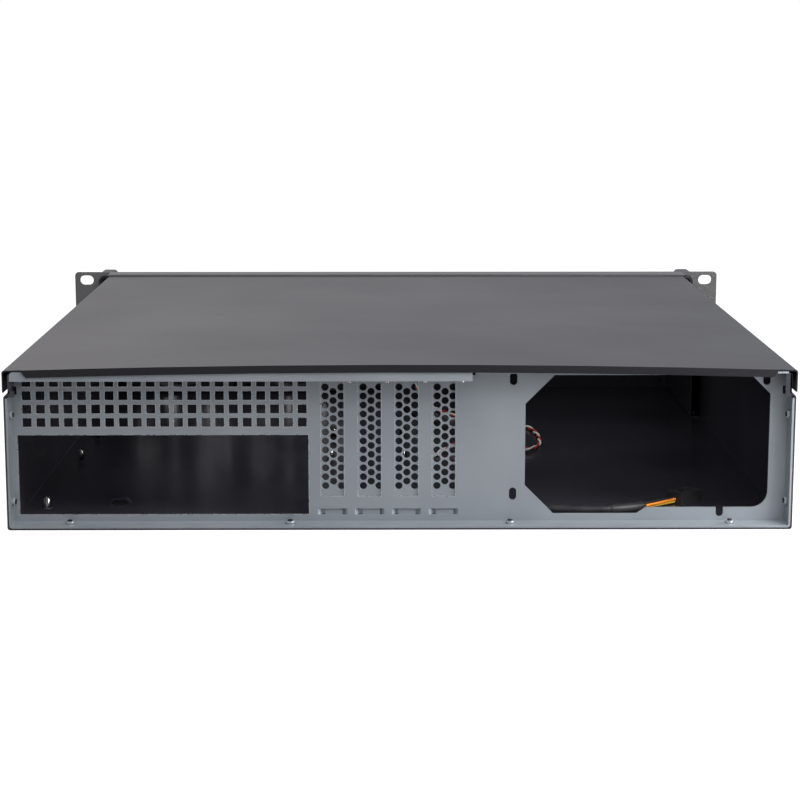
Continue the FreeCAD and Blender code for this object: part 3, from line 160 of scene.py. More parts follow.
def make_world():
    """Sky strength = middle + direction . slope, plain white where it is looked at.  The tint runs from
    SKY_RIGHT to SKY_LEFT as the direction's X goes from -TINT_REACH to TINT_REACH."""
    world = bpy.data.worlds.new("studio")
    bpy.context.scene.world = world
    world.use_nodes = True
    add, link = new_nodes(world.node_tree)
    place = add("ShaderNodeTexCoord")
    slope = add("ShaderNodeVectorMath", operation="DOT_PRODUCT")
    slope.inputs[1].default_value = SKY_SLOPE
    link(place.outputs["Generated"], slope.inputs[0])
    level = add("ShaderNodeMath", operation="ADD")
    level.use_clamp = True
    link(slope.outputs["Value"], level.inputs[0])
    level.inputs[1].default_value = SKY_MIDDLE
    lit = add("ShaderNodeBackground")
    aside = add("ShaderNodeSeparateXYZ")
    link(place.outputs["Generated"], aside.inputs[0])
    tint = add("ShaderNodeMapRange")
    tint.inputs["From Min"].default_value = -TINT_REACH
    tint.inputs["From Max"].default_value = TINT_REACH
    link(aside.outputs["X"], tint.inputs["Value"])
    colour = add("ShaderNodeMix", data_type="RGBA")
    colour.inputs["A"].default_value = SKY_RIGHT
    colour.inputs["B"].default_value = SKY_LEFT
    link(tint.outputs[0], colour.inputs["Factor"])
    link(colour.outputs["Result"], lit.inputs["Color"])
    link(level.outputs[0], lit.inputs["Strength"])
    white = add("ShaderNodeBackground")
    white.inputs["Color"].default_value = (1.0, 1.0, 1.0, 1.0)
    mix = add("ShaderNodeMixShader")
    link(background_share(add, link), mix.inputs[0])
    link(lit.outputs[0], mix.inputs[1])
    link(white.outputs[0], mix.inputs[2])
    out = add("ShaderNodeOutputWorld")
    link(mix.outputs[0], out.inputs["Surface"])


def make_floor():
    """Wide pale floor that glows just enough to reach white and still takes the case's shadow."""
    mesh = bpy.data.meshes.new("floor")
    corners = [(x * FLOOR_HALF, y * FLOOR_HALF, 0) for x, y in ((-1, -1), (1, -1), (1, 1), (-1, 1))]
    mesh.from_pydata(corners, [], [(0, 1, 2, 3)])
    floor = bpy.data.objects.new("floor", mesh)
    bpy.context.scene.collection.objects.link(floor)
    paper = bpy.data.materials.new("floor_paper")
    paper.use_nodes = True
    add, link = new_nodes(paper.node_tree)
    matt = add("ShaderNodeBsdfDiffuse")
    matt.inputs["Color"].default_value = (FLOOR_SHADE, FLOOR_SHADE, FLOOR_SHADE, 1.0)
    glow = add("ShaderNodeEmission")
    glow.inputs["Strength"].default_value = FLOOR_GLOW
    both = add("ShaderNodeAddShader")
    link(matt.outputs[0], both.inputs[0])
    link(glow.outputs[0], both.inputs[1])
    mix = add("ShaderNodeMixShader")
    link(background_share(add, link), mix.inputs[0])
    link(matt.outputs[0], mix.inputs[1])
    link(both.outputs[0], mix.inputs[2])
    out = add("ShaderNodeOutputMaterial")
    link(mix.outputs[0], out.inputs["Surface"])
    mesh.materials.append(paper)
    floor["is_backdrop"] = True


def make_lamp(name, place, target, size, power, mirrored=True):
    """Square area lamp at a place, turned to a target; an unmirrored one shows in no gloss."""
    data = bpy.data.lights.new(name, "AREA")
    data.shape = "SQUARE"
    data.size = size
    data.energy = power
    lamp = bpy.data.objects.new(name, data)
    lamp.location = place
    lamp.visible_camera = False
    lamp.visible_glossy = mirrored
    lamp.rotation_mode = "QUATERNION"
    lamp.rotation_quaternion = (Vector(target) - Vector(place)).to_track_quat("-Z", "Y")
    bpy.context.scene.collection.objects.link(lamp)


bpy.context.scene.view_settings.view_transform = "Standard"
make_world()
make_floor()
make_lamp("overhead", (0.5, -0.9, 1.5), (0.0, 0.0, 0.05), 1.4, 4.0)
make_lamp("over_the_rear", (-0.35, 0.75, 1.15), (-0.10, 0.235, 0.0), 1.3, 38.0, mirrored=False)
make_lamp("right_table", (-0.37, 0.37, 0.17), (-0.21, 0.235, 0.04), 0.2, 1.6)
make_lamp("fill", (0.1, 1.5, 0.5), (0.0, 0.2, 0.03), 0.5, 2.0, mirrored=False)
make_lamp("under_the_roof", (0.0, 0.03, 0.083), (0.0, 0.03, 0.0), 0.34, 0.30, mirrored=False)
print("stage lit")

# %% [markdown]
# ## Finishes
# Every finish comes from one function.  A metal or paint is never one value, so colour and roughness
# follow slow noise over the sheet, and a much finer noise gives the bump.  Object coordinates are in
# metres, so a noise scale of 40 has blobs of about 25 mm.

# %% A material with noise in colour, roughness and bump
def finish(name, colours, roughness, metallic=0.0, blobs=30.0, stretch=(1.0, 1.0, 1.0), grain=900.0,
           bump=0.02, coat=0.0):
    """Principled surface.  Colour and roughness run between two values each along noise of `blobs` cells a
    metre, stretched along an axis; the bump is finer noise of `grain` cells a metre."""
    material = bpy.data.materials.new(name)
    material.use_nodes = True
    add, link = new_nodes(material.node_tree)
    place = add("ShaderNodeTexCoord")
    scaled = add("ShaderNodeMapping")
    scaled.inputs["Scale"].default_value = stretch
    link(place.outputs["Object"], scaled.inputs["Vector"])
    slow = add("ShaderNodeTexNoise")
    slow.inputs["Scale"].default_value = blobs
    slow.inputs["Detail"].default_value = 4.0
    link(scaled.outputs[0], slow.inputs["Vector"])
    ramp = add("ShaderNodeValToRGB")
    ramp.color_ramp.elements[0].position = 0.3
    ramp.color_ramp.elements[1].position = 0.7
    ramp.color_ramp.elements[0].color = (*colours[0], 1.0)
    ramp.color_ramp.elements[1].color = (*colours[1], 1.0)
    link(slow.outputs["Fac"], ramp.inputs[0])
    dull = add("ShaderNodeMapRange")
    dull.inputs["From Min"].default_value = 0.3
    dull.inputs["From Max"].default_value = 0.7
    dull.inputs["To Min"].default_value = roughness[0]
    dull.inputs["To Max"].default_value = roughness[1]
    link(slow.outputs["Fac"], dull.inputs["Value"])
    fine = add("ShaderNodeTexNoise")
    fine.inputs["Scale"].default_value = grain
    fine.inputs["Detail"].default_value = 2.0
    link(place.outputs["Object"], fine.inputs["Vector"])
    relief = add("ShaderNodeBump")
    relief.inputs["Strength"].default_value = bump
    relief.inputs["Distance"].default_value = 0.0004
    link(fine.outputs["Fac"], relief.inputs["Height"])
    skin = add("ShaderNodeBsdfPrincipled")
    skin.inputs["Metallic"].default_value = metallic
    skin.inputs["Coat Weight"].default_value = coat
    link(ramp.outputs[0], skin.inputs["Base Color"])
    link(dull.outputs[0], skin.inputs["Roughness"])
    link(relief.outputs[0], skin.inputs["Normal"])
    out = add("ShaderNodeOutputMaterial")
    link(skin.outputs[0], out.inputs["Surface"])
    return material


finishes = {
    "zinc": finish("zinc_plate", ((0.262, 0.288, 0.318), (0.310, 0.338, 0.368)), (0.34, 0.46),
                   0.6, 26.0, (1, 1, 0.5), 700, 0.05),
    "black_paint": finish("gloss_black_paint", ((0.020, 0.020, 0.026), (0.028, 0.028, 0.036)), (0.18, 0.26),
                          0.0, 14.0, grain=500, bump=0.03),
    "cover_paint": finish("satin_cover_paint", ((0.004, 0.004, 0.006), (0.007, 0.007, 0.009)), (0.30, 0.36),
                          0.0, 9.0, grain=1800, bump=0.08),
    "handle_paint": finish("handle_paint", ((0.02, 0.02, 0.023), (0.028, 0.028, 0.031)), (0.36, 0.46),
                           0.0, 40.0, grain=1500, bump=0.08),
    "bright_metal": finish("bright_nickel", ((0.62, 0.62, 0.61), (0.74, 0.74, 0.72)), (0.18, 0.28),
                           1.0, 120.0, grain=2500, bump=0.03),
    "black_screw": finish("black_screw", ((0.018, 0.018, 0.02), (0.03, 0.03, 0.032)), (0.3, 0.42),
                          0.6, 200.0, grain=3000, bump=0.05),
    "black_plastic": finish("black_plastic", ((0.014, 0.014, 0.015), (0.02, 0.02, 0.022)), (0.42, 0.55),
                            0.0, 60.0, grain=2200, bump=0.1),
    "green_lamp": finish("green_lamp", ((0.05, 0.30, 0.08), (0.07, 0.36, 0.10)), (0.08, 0.12),
                         0.0, 300.0, bump=0.0, coat=0.4),
    "amber_lamp": finish("amber_lamp", ((0.55, 0.24, 0.03), (0.62, 0.28, 0.04)), (0.08, 0.12),
                         0.0, 300.0, bump=0.0, coat=0.4),
    "circuit_board": finish("green_board", ((0.012, 0.09, 0.04), (0.018, 0.13, 0.055)), (0.3, 0.4),
                            0.0, 420.0, (1, 1, 0.25), 1400, 0.05),
    "lead_sleeve": finish("lead_sleeve", ((0.012, 0.012, 0.013), (0.022, 0.022, 0.024)), (0.34, 0.46),
                          0.0, 150.0, grain=1600, bump=0.2),
    "lead_wire": finish("red_wire", ((0.32, 0.02, 0.02), (0.42, 0.03, 0.03)), (0.3, 0.4),
                        0.0, 200.0, bump=0.02),
    "white_wire": finish("white_wire", ((0.62, 0.58, 0.55), (0.72, 0.68, 0.64)), (0.3, 0.4),
                         0.0, 200.0, bump=0.02),
    "yellow_wire": finish("yellow_wire", ((0.70, 0.42, 0.03), (0.78, 0.5, 0.05)), (0.3, 0.4),
                          0.0, 200.0, bump=0.02),
    "orange_wire": finish("orange_wire", ((0.68, 0.19, 0.02), (0.76, 0.24, 0.03)), (0.3, 0.4),
                          0.0, 200.0, bump=0.02),
    # A lighter copy of the black paint for the front panel: painted light on the ears' backs, which stand
    # far from the lamps.
    "lightened_panel_paint": finish("lightened_panel_paint", ((0.07, 0.07, 0.072), (0.085, 0.085, 0.088)), (0.42, 0.5),
                          0.0, 30.0, grain=1500, bump=0.08),
    # Lighter, shinier zinc for hole edges and collar rims: a painted highlight where those edges catch the
    # light.
    "edge_highlight": finish("edge_highlight", ((0.46, 0.49, 0.52), (0.56, 0.59, 0.62)), (0.24, 0.32),
                       0.8, 200.0, grain=1800, bump=0.03),
}
slot_of = {entry["node"]: entry["material_slot"] for entry in frame["record"]["subparts"]}
for name, node in nodes.items():
    node.data.materials.clear()
    # The front panel takes the lighter copy of the black paint, painted light for its dim ears.
    node.data.materials.append(finishes["lightened_panel_paint" if name == "front_panel" else slot_of[name]])
print("finishes", len(finishes), "for", len(nodes), "nodes and the dressed pieces")

# %% [markdown]
# ## Two leads on the floor
# The fans' lead is a black sleeve with coloured wires at its plug, and the switches' lead is a thin pair
# of red and white wires.  A lead is a fixed length of something springy, so it gets one smooth line.  A
# NURBS curve of order three does this: it rounds every corner of the route by itself.

# %% Routes of the leads
rear_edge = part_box("base_tray")[1][1]
SLEEVE = 4.6 * MM
PAIR = 2.6 * MM
fan_lead_rest = 3.4
panel_lead_rest = 2.4
fan_lead_points = [
    (35, -192.2, 9.0), (21, -192.2, 9.0), (8, -180.2, 4.6), (0, -158.2, fan_lead_rest),
    (-5, -120.2, fan_lead_rest), (-14, -80.2, fan_lead_rest), (-30, -38.2, fan_lead_rest),
    (-44, 7.8, fan_lead_rest), (-47.5, 58.8, fan_lead_rest), (-46, 108.8, fan_lead_rest),
    (-48.5, 154.8, fan_lead_rest), (-57, 188.8, fan_lead_rest), (-76, 207.8, fan_lead_rest),
    (-100, 212.4, fan_lead_rest), (-124, 210.2, fan_lead_rest), (-143, 198.8, fan_lead_rest),
    (-157, 186.8, fan_lead_rest)]
panel_lead_points = [
    (-11, -186.6, 27), (-11, -170.6, 27), (-13, -154.6, 15), (-17, -136.6, 4.6),
    (-24, -114.6, panel_lead_rest), (-35, -86.6, panel_lead_rest), (-52, -59.2, panel_lead_rest),
    (-74, -55.2, panel_lead_rest), (-90, -38.2, panel_lead_rest), (-94, -5.2, panel_lead_rest),
    (-92, 28.8, panel_lead_rest), (-80, 49.8, 4.4), (-60, 48.8, 8.2), (-42, 38.8, 8.2),
    (-31, 39.8, 3.4), (-24, 51.8, panel_lead_rest), (-20.5, 64.8, panel_lead_rest)]


def centre_line(name, points):
    """Points of a smooth curve of order three whose control points are the route, in metres."""
    curve = bpy.data.curves.new(name, "CURVE")
    curve.dimensions = "3D"
    curve.resolution_u = 16
    spline = curve.splines.new("NURBS")
    spline.points.add(len(points) - 1)
    flat = [value for x, y, z in points for value in (x * MM, y * MM, z * MM, 1.0)]
    spline.points.foreach_set("co", flat)
    spline.order_u = 3
    spline.use_endpoint_u = True
    holder = bpy.data.objects.new(name, curve)
    bpy.context.scene.collection.objects.link(holder)
    bpy.context.view_layer.update()
    mesh = bpy.data.meshes.new_from_object(holder)
    line = np.empty(len(mesh.vertices) * 3)
    mesh.vertices.foreach_get("co", line)
    bpy.data.objects.remove(holder)
    return line.reshape(-1, 3)


def arc_length(line):
    """Distance along the line at each of its points: the running sum of its steps."""
    steps = np.linalg.norm(np.diff(line, axis=0), axis=1)
    return np.concatenate([[0.0], np.cumsum(steps)])


fan_line = centre_line("fan_route", fan_lead_points)
panel_line = centre_line("panel_route", panel_lead_points)
fan_length = arc_length(fan_line)[-1]
panel_length = arc_length(panel_line)[-1]
print("fan lead", round(fan_length / MM, 1), "mm, switch lead", round(panel_length / MM, 1), "mm")

# %% [markdown]
# ## A round strand along a line
# A ring of points is carried along the line.  Two directions square to the line span the ring; they
# are found from the line's own direction and a fixed up, which works because no lead stands upright.
# A strand may also run beside the line and turn round it, as the two wires of a twisted pair do.

# %% Strands and meshes from grids
def stretch_of(line, start, end, count):
    """`count` points evenly spaced along the line from distance start to distance end."""
    along = arc_length(line)
    wanted = np.linspace(start, end, count)
    return np.stack([np.interp(wanted, along, line[:, axis]) for axis in range(3)], axis=1), wanted


def strand(line, start, end, radius, count, sides=12, offset=0.0, turn=0.0, twist=0.0):
    """Grid of rings.  A ring's point = line + offset along (cos t, sin t) + radius along (cos a, sin a),
    in the plane square to the line; t = turn + twist times the distance, and a goes once round."""
    spine, along = stretch_of(line, start, end, count)
    ahead = np.gradient(spine, axis=0)
    ahead /= np.linalg.norm(ahead, axis=1, keepdims=True)
    side = np.cross(ahead, (0.0, 0.0, 1.0))
    side /= np.linalg.norm(side, axis=1, keepdims=True)
    up = np.cross(side, ahead)
    round_line = turn + twist * along
    middle = spine + offset * (np.cos(round_line)[:, None] * side + np.sin(round_line)[:, None] * up)
    angle = np.linspace(0.0, 2.0 * np.pi, sides, endpoint=False)
    reach = np.broadcast_to(np.asarray(radius, float), (count,))[:, None, None]
    ring = np.cos(angle)[None, :, None] * side[:, None, :] - np.sin(angle)[None, :, None] * up[:, None, :]
    return middle[:, None, :] + reach * ring


def grid_faces(rows, columns, first=0):
    """Quads between neighbouring rows of a grid whose columns close on themselves, and the two end caps."""
    row = np.arange(rows - 1)[:, None] * columns
    here = np.arange(columns)[None, :]
    after = (here + 1) % columns
    quads = np.stack([row + here, row + after, row + columns + after, row + columns + here], axis=-1)
    faces = (quads.reshape(-1, 4) + first).tolist()
    last = first + (rows - 1) * columns
    faces.append([first + k for k in range(columns - 1, -1, -1)])
    faces.append([last + k for k in range(columns)])
    return faces


def add_mesh(name, grids, body, materials):
    """One object from closed grids of rings; grid k takes material k, or the last one."""
    vertices = []
    faces = []
    marks = []
    for index, grid in enumerate(grids):
        rows, columns = grid.shape[:2]
        new_faces = grid_faces(rows, columns, len(vertices))
        vertices.extend(grid.reshape(-1, 3).tolist())
        faces.extend(new_faces)
        marks.extend([min(index, len(materials) - 1)] * len(new_faces))
    mesh = bpy.data.meshes.new(name)
    mesh.from_pydata(vertices, [], faces)
    for material in materials:
        mesh.materials.append(material)
    mesh.polygons.foreach_set("material_index", marks)
    mesh.polygons.foreach_set("use_smooth", [len(face) == 4 for face in faces])
    mesh.update()
    piece = bpy.data.objects.new(name, mesh)
    bpy.context.scene.collection.objects.link(piece)
    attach(piece, body)
    return piece


# %% [markdown]
# ## The fans' lead
# Black braided sleeve, a length of heat-shrink where the sleeve ends, and four coloured wires that
# fan out into a four-pin plug.  The wires are part of the same cord, so they are grids of its mesh.

# %% Fan lead
SHRINK_START = fan_length - 47 * MM
SHRINK_END = fan_length - 24 * MM
SLEEVE_RADIUS = SLEEVE / 2
SLEEVE_SIDES = 20
WIRE_RADIUS = 0.75 * MM
WIRE_ASIDE = 1.12 * MM
WIRE_START_TURN = 0.4
WIRE_TWIST = 18.0
WIRE_SIDES = 10


def shrink_radius(count):
    """Heat-shrink radius: 2% under the sleeve's at its ends and 18% over it between, by smooth steps."""
    t = np.linspace(0.0, 1.0, count)
    rise = np.clip(np.minimum(t, 1 - t) * 12, 0, 1)
    return SLEEVE_RADIUS * (0.98 + 0.2 * rise * rise * (3 - 2 * rise))


fan_grids = [strand(fan_line, 0.0, SHRINK_START + 1 * MM, SLEEVE_RADIUS, 520, SLEEVE_SIDES),
             strand(fan_line, SHRINK_START, SHRINK_END, shrink_radius(40), 40, SLEEVE_SIDES)]
for k in range(4):
    wire_turn = math.pi / 2 * k + WIRE_START_TURN
    fan_grids.append(strand(fan_line, SHRINK_END - 2 * MM, fan_length, WIRE_RADIUS, 40, WIRE_SIDES,
                            WIRE_ASIDE, wire_turn, WIRE_TWIST))
fan_finishes = [finishes[key] for key in ("lead_sleeve", "black_plastic", "lead_wire", "yellow_wire",
                                          "orange_wire", "lead_sleeve")]
fan_cord = add_mesh("fan_lead_cord", fan_grids, "chassis", fan_finishes)
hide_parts("fan_lead")
print("fan lead faces", len(fan_cord.data.polygons))

# %% [markdown]
# ## The switches' lead
# Two thin wires, red and white, lightly twisted.  Each is a strand that turns round the same line.

# %% Switch lead
PAIR_TWIST = 260.0

panel_grids = [strand(panel_line, 0.0, panel_length, PAIR / 4, 420, WIRE_SIDES,
                      PAIR / 4, math.pi * k, PAIR_TWIST) for k in range(2)]
panel_cord = add_mesh("switch_lead_cord", panel_grids, "chassis",
                      [finishes["lead_wire"], finishes["white_wire"]])
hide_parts("panel_lead")
print("switch lead faces", len(panel_cord.data.polygons))

# %% [markdown]
# ## Places from the frame
# A screw or a post is dressed where the frame has it.  A node such as cover_screws holds several
# separate solids, and the box of each says where its head sits and how long its shank is.

# %% The separate solids of a node
WELD_STEP = 0.001


def islands(node_name):
    """Boxes (low, high) of a node's separate solids.  Points at one place, or joined by an edge, share
    one label, the lowest of theirs."""
    mesh = nodes[node_name].data
    points = np.empty(len(mesh.vertices) * 3)
    mesh.vertices.foreach_get("co", points)
    keys = np.round(points.reshape(-1, 3) / (WELD_STEP * MM)).astype(int)
    keys, merged = np.unique(keys, axis=0, return_inverse=True)
    points = keys * WELD_STEP * MM
    pairs = np.empty(len(mesh.edges) * 2, int)
    mesh.edges.foreach_get("vertices", pairs)
    pairs = merged.reshape(-1)[pairs].reshape(-1, 2)
    label = np.arange(len(points))
    while True:
        lowest = label.copy()
        np.minimum.at(lowest, pairs[:, 0], label[pairs[:, 1]])
        np.minimum.at(lowest, pairs[:, 1], label[pairs[:, 0]])
        lowest = lowest[lowest]
        if np.array_equal(lowest, label):
            break
        label = lowest
    return [(points[label == k].min(axis=0), points[label == k].max(axis=0)) for k in np.unique(label)]


def aligned(axis):
    """Rotation whose third column is the axis: local Z goes to the axis."""
    axis = np.asarray(axis, float)
    side = np.cross(axis, (0.0, 0.0, 1.0) if abs(axis[2]) < 0.9 else (0.0, 1.0, 0.0))
    side /= np.linalg.norm(side)
    return np.stack([side, np.cross(axis, side), axis], axis=1)


print("rear screws", [[round(float(v) / MM) for v in low] for low, high in islands("rear_panel_screws")])

# %% [markdown]
# ## Screws
# A screw is one closed grid of rings round its own axis.  Going out from the middle of the head, the
# rings sink into the driver's recess, come up over the crown, go down the rim, in under the head and
# along the shank.  The thread is the shank's radius swelling once a turn, so it runs as a helix.

# %% Screw grids
THREAD_PITCH = 0.6 * MM
THREAD_DEPTH = 0.14 * MM
SCREW_SIDES = 32
RINGS_A_TURN = 4
HEAD_SHARES = (0.04, 0.12, 0.2, 0.28, 0.36, 0.44, 0.52, 0.6, 0.68, 0.78, 0.88, 0.96)
CROSS_ARM = 0.56
CROSS_HALF_WIDTH = 0.13
CROSS_SINK = 0.5
CROWN_DROP = 0.35
HEXAGON_REACH = 0.44
HEXAGON_SINK = 0.6


def cross_depth(u, v, arm, width):
    """1 inside a cross of the given arm length and half width, falling to 0 over a thin border."""
    def band(a, b):
        inside = np.clip((arm - np.abs(a)) / (0.3 * width), 0, 1)
        return inside * np.clip((width - np.abs(b)) / (0.4 * width) + 0.5, 0, 1)

    return np.maximum(band(u, v), band(v, u))


def hexagon_depth(u, v, reach):
    """1 inside a hexagon whose flats lie `reach` from its middle, falling to 0 over a thin border."""
    flats = [np.abs(u * math.cos(a) + v * math.sin(a)) for a in (0.0, math.pi / 3, 2 * math.pi / 3)]
    return np.clip((reach - np.max(flats, axis=0)) / (0.08 * reach), 0, 1)


def screw_grid(head_radius, head_height, shank_radius, length, sunk=False, hexagon=False):
    """Rings of a screw whose seat is at z = 0 and whose shank goes to z = -length; a sunk head is a cone
    whose flat top is at z = 0 instead."""
    angle = np.linspace(0.0, 2.0 * np.pi, SCREW_SIDES, endpoint=False) + np.pi / SCREW_SIDES
    top = 0.0 if sunk else head_height
    rows = []
    for share in HEAD_SHARES:
        radius = share * head_radius
        u = radius * np.cos(angle)
        v = radius * np.sin(angle)
        if hexagon:
            sink = hexagon_depth(u, v, HEXAGON_REACH * head_radius) * HEXAGON_SINK * head_height
            crown = 0.0
        else:
            cross = cross_depth(u, v, CROSS_ARM * head_radius, CROSS_HALF_WIDTH * head_radius)
            sink = cross * CROSS_SINK * head_height * (1.3 - share)
            crown = 0.0 if sunk else CROWN_DROP * head_height * share ** 2
        rows.append(np.stack([u, v, top - crown - sink], axis=1))

    def ring(radius, z):
        radius = np.broadcast_to(radius, angle.shape)
        level = np.full_like(angle, z)
        rows.append(np.stack([radius * np.cos(angle), radius * np.sin(angle), level], axis=1))

    if sunk:
        ring(head_radius, -0.05 * MM)
        ring(shank_radius, -head_height)
        start = -head_height
    else:
        ring(head_radius, top - 0.5 * head_height)
        ring(head_radius, 0.08 * head_height)
        ring(0.97 * head_radius, 0.0)
        ring(shank_radius, 0.0)
        start = -0.05 * MM
    turns = max((length + start) / THREAD_PITCH, 1.0)
    for z in np.linspace(start, -length, int(turns * RINGS_A_TURN) + 2):
        swell = (np.cos(angle - 2.0 * np.pi * z / THREAD_PITCH) - 1.0) * 0.5 * THREAD_DEPTH
        ring(shank_radius + swell, z)
    ring(0.6 * shank_radius, -length)
    return np.stack(rows)


def place_grid(grid, origin, axis, turn):
    """Turns a grid about its own axis, lays that axis along `axis` and moves it to the origin given."""
    c, s = math.cos(turn), math.sin(turn)
    spin = np.array([[c, -s, 0.0], [s, c, 0.0], [0.0, 0.0, 1.0]])
    return grid @ (aligned(axis) @ spin).T + np.asarray(origin)


def dress_screws(node_name, piece_name, out_of_head, head_radius, head_height, shank_radius, sunk=False,
                 hexagon=False, shank=None):
    """Dressed screws over a node's solids.  out_of_head(middle) gives the direction that a head faces."""
    grids = []
    for index, (low, high) in enumerate(islands(node_name)):
        middle = (low + high) / 2
        out = np.asarray(out_of_head(middle), float)
        whole = float(abs(out @ (high - low)))
        seat_back = 0.0 if sunk else head_height
        seat = middle + out * (whole / 2 - seat_back)
        grid = screw_grid(head_radius, head_height, shank_radius, shank or whole - seat_back, sunk, hexagon)
        grids.append(place_grid(grid, seat, out, 0.7 + 1.9 * index))
    piece = add_mesh(piece_name, grids, "chassis", [finishes[slot_of[node_name]]])
    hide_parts(node_name)
    print(piece_name, len(grids), "screws,", len(piece.data.polygons), "faces")
    return piece


# %% Screws on the case
PAN_HEAD = (2.8 * MM, 1.6 * MM, 1.45 * MM)
FLAT_HEAD = (2.8 * MM, 1.5 * MM, 1.45 * MM)
HANDLE_BOLT = (4.75 * MM, 2.8 * MM, 2.45 * MM)
REAR_SHANK = 4.2 * MM
FLOOR_SCREW_TOP = 6 * MM


def sideways(middle):
    """Away from the case's middle, to the left or to the right."""
    return (math.copysign(1, middle[0]), 0, 0)


def rear_direction(middle):
    """Rear screws in the floor face down; those in the side walls face out."""
    return (0, 0, -1) if middle[2] < FLOOR_SCREW_TOP else sideways(middle)


def upward(middle):
    """Up, wherever the screw is."""
    return (0, 0, 1)


def forward(middle):
    """Towards the front, wherever the screw is."""
    return (0, -1, 0)


def backward(middle):
    """Towards the rear, wherever the screw is."""
    return (0, 1, 0)


dress_screws("rear_panel_screws", "rear_screws", rear_direction, *FLAT_HEAD, sunk=True, shank=REAR_SHANK)
dress_screws("cover_screws", "side_screws", sideways, *PAN_HEAD)
dress_screws("slot_cover_screws", "slot_screws", upward, *PAN_HEAD)
dress_screws("drive_cage_screws", "cage_screws", upward, *PAN_HEAD)
dress_screws("front_panel_screws", "panel_screws", forward, *FLAT_HEAD, sunk=True)
dress_screws("fan_screws", "fan_fixings", forward, *FLAT_HEAD, sunk=True)
dress_screws("handle_screws", "handle_bolts", backward, *HANDLE_BOLT, hexagon=True)

# %% [markdown]
# ## Posts for the mainboard
# A post is a round barrel on a thin hexagonal foot that is pressed into the floor.  Its rim is
# rounded, and its hole is threaded.

# %% Posts
FOOT_FLAT = 2.5 * MM
FOOT_THICK = 0.4 * MM
FOOT_STEP = 0.5 * MM
BARREL_RADIUS = 2.05 * MM
BARREL_RIM = 0.3 * MM
FLOOR_TOP = 1.0 * MM
SPIGOT_RADIUS = 1.4 * MM
POST_HOLE_DEPTH = 4.6 * MM
POST_HOLE_RADIUS = 1.25 * MM
POST_THREAD_DEPTH = 0.1 * MM
POST_THREAD_PITCH = 0.5 * MM
POST_MOUTH_RADIUS = 1.5 * MM
POST_MOUTH_DEPTH = 0.25 * MM
POST_TIP_RADIUS = 0.2 * MM


def post_grid(low, high):
    """Rings of a post.  The foot's corners lie at flat / cos(angle from the flat's middle); the barrel is
    round, and the thread in its hole is a radius that swells once a turn."""
    middle = (low + high) / 2
    angle = np.linspace(0.0, 2.0 * np.pi, 36, endpoint=False)
    foot = FOOT_FLAT / np.cos((angle % (math.pi / 3)) - math.pi / 6)
    top = high[2]
    rows = []

    def ring(radius, z):
        radius = np.broadcast_to(radius, angle.shape)
        x = middle[0] + radius * np.cos(angle)
        y = middle[1] + radius * np.sin(angle)
        rows.append(np.stack([x, y, np.broadcast_to(z, angle.shape)], axis=1))

    ring(POST_TIP_RADIUS, top - POST_HOLE_DEPTH)
    for z in np.linspace(top - POST_HOLE_DEPTH, top - POST_MOUTH_DEPTH, 28):
        ring(POST_HOLE_RADIUS + POST_THREAD_DEPTH * np.cos(angle - 2.0 * np.pi * z / POST_THREAD_PITCH), z)
    ring(POST_MOUTH_RADIUS, top)
    rim_radius = BARREL_RADIUS - BARREL_RIM
    for t in np.linspace(0.0, math.pi / 2, 4):
        ring(rim_radius + BARREL_RIM * math.sin(t), top - BARREL_RIM + BARREL_RIM * math.cos(t))
    ring(BARREL_RADIUS, FLOOR_TOP + FOOT_STEP)
    ring(foot, FLOOR_TOP + FOOT_THICK)
    ring(foot, FLOOR_TOP)
    ring(SPIGOT_RADIUS, FLOOR_TOP)
    ring(SPIGOT_RADIUS, low[2])
    ring(POST_TIP_RADIUS, low[2])
    return np.stack(rows)


post_grids = [post_grid(low, high) for low, high in islands("mainboard_standoffs")]
posts = add_mesh("board_posts", post_grids, "chassis", [finishes["bright_metal"]])
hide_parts("mainboard_standoffs")
print("posts", len(post_grids), "faces", len(posts.data.polygons))

# %% [markdown]
# ## Perforated slot covers
# A slot cover is a strip with three staggered columns of round holes, a tab over the ledge and a
# tongue in the strap below.  The strip and the tab are flat curves with holes: a filled curve with a
# little thickness and a thin bevel gives sheet metal with soft punched edges.

# %% Sheets from flat curves
SHEET = 0.86 * MM
SHEET_BEVEL = 0.07 * MM


def circle_points(x, y, radius, count, start=0.0, sweep=2.0 * math.pi):
    """Points evenly spaced round a circle or an arc of it; an arc has a point at each of its ends."""
    steps = count if sweep == 2.0 * math.pi else count - 1
    angles = [start + sweep * k / steps for k in range(count)]
    return [(x + radius * math.cos(angle), y + radius * math.sin(angle)) for angle in angles]


def flat_sheet(outlines, thickness, bevel):
    """Vertices and faces of a sheet in the XY plane: the first outline is its edge, the others are holes."""
    curve = bpy.data.curves.new("sheet_outline", "CURVE")
    curve.dimensions = "2D"
    curve.fill_mode = "BOTH"
    for points in outlines:
        spline = curve.splines.new("POLY")
        spline.points.add(len(points) - 1)
        spline.points.foreach_set("co", [value for x, y in points for value in (x, y, 0.0, 1.0)])
        spline.use_cyclic_u = True
    curve.extrude = thickness / 2 - bevel
    curve.bevel_depth = bevel
    curve.bevel_resolution = 0
    curve.offset = -bevel
    holder = bpy.data.objects.new("sheet_outline", curve)
    bpy.context.scene.collection.objects.link(holder)
    bpy.context.view_layer.update()
    mesh = bpy.data.meshes.new_from_object(holder)
    bm = bmesh.new()
    bm.from_mesh(mesh)
    bmesh.ops.remove_doubles(bm, verts=bm.verts, dist=1e-7)
    bmesh.ops.recalc_face_normals(bm, faces=bm.faces)
    bm.verts.index_update()
    vertices = np.array([vert.co[:] for vert in bm.verts])
    faces = [[vert.index for vert in face.verts] for face in bm.faces]
    bm.free()
    bpy.data.objects.remove(holder)
    return vertices, faces


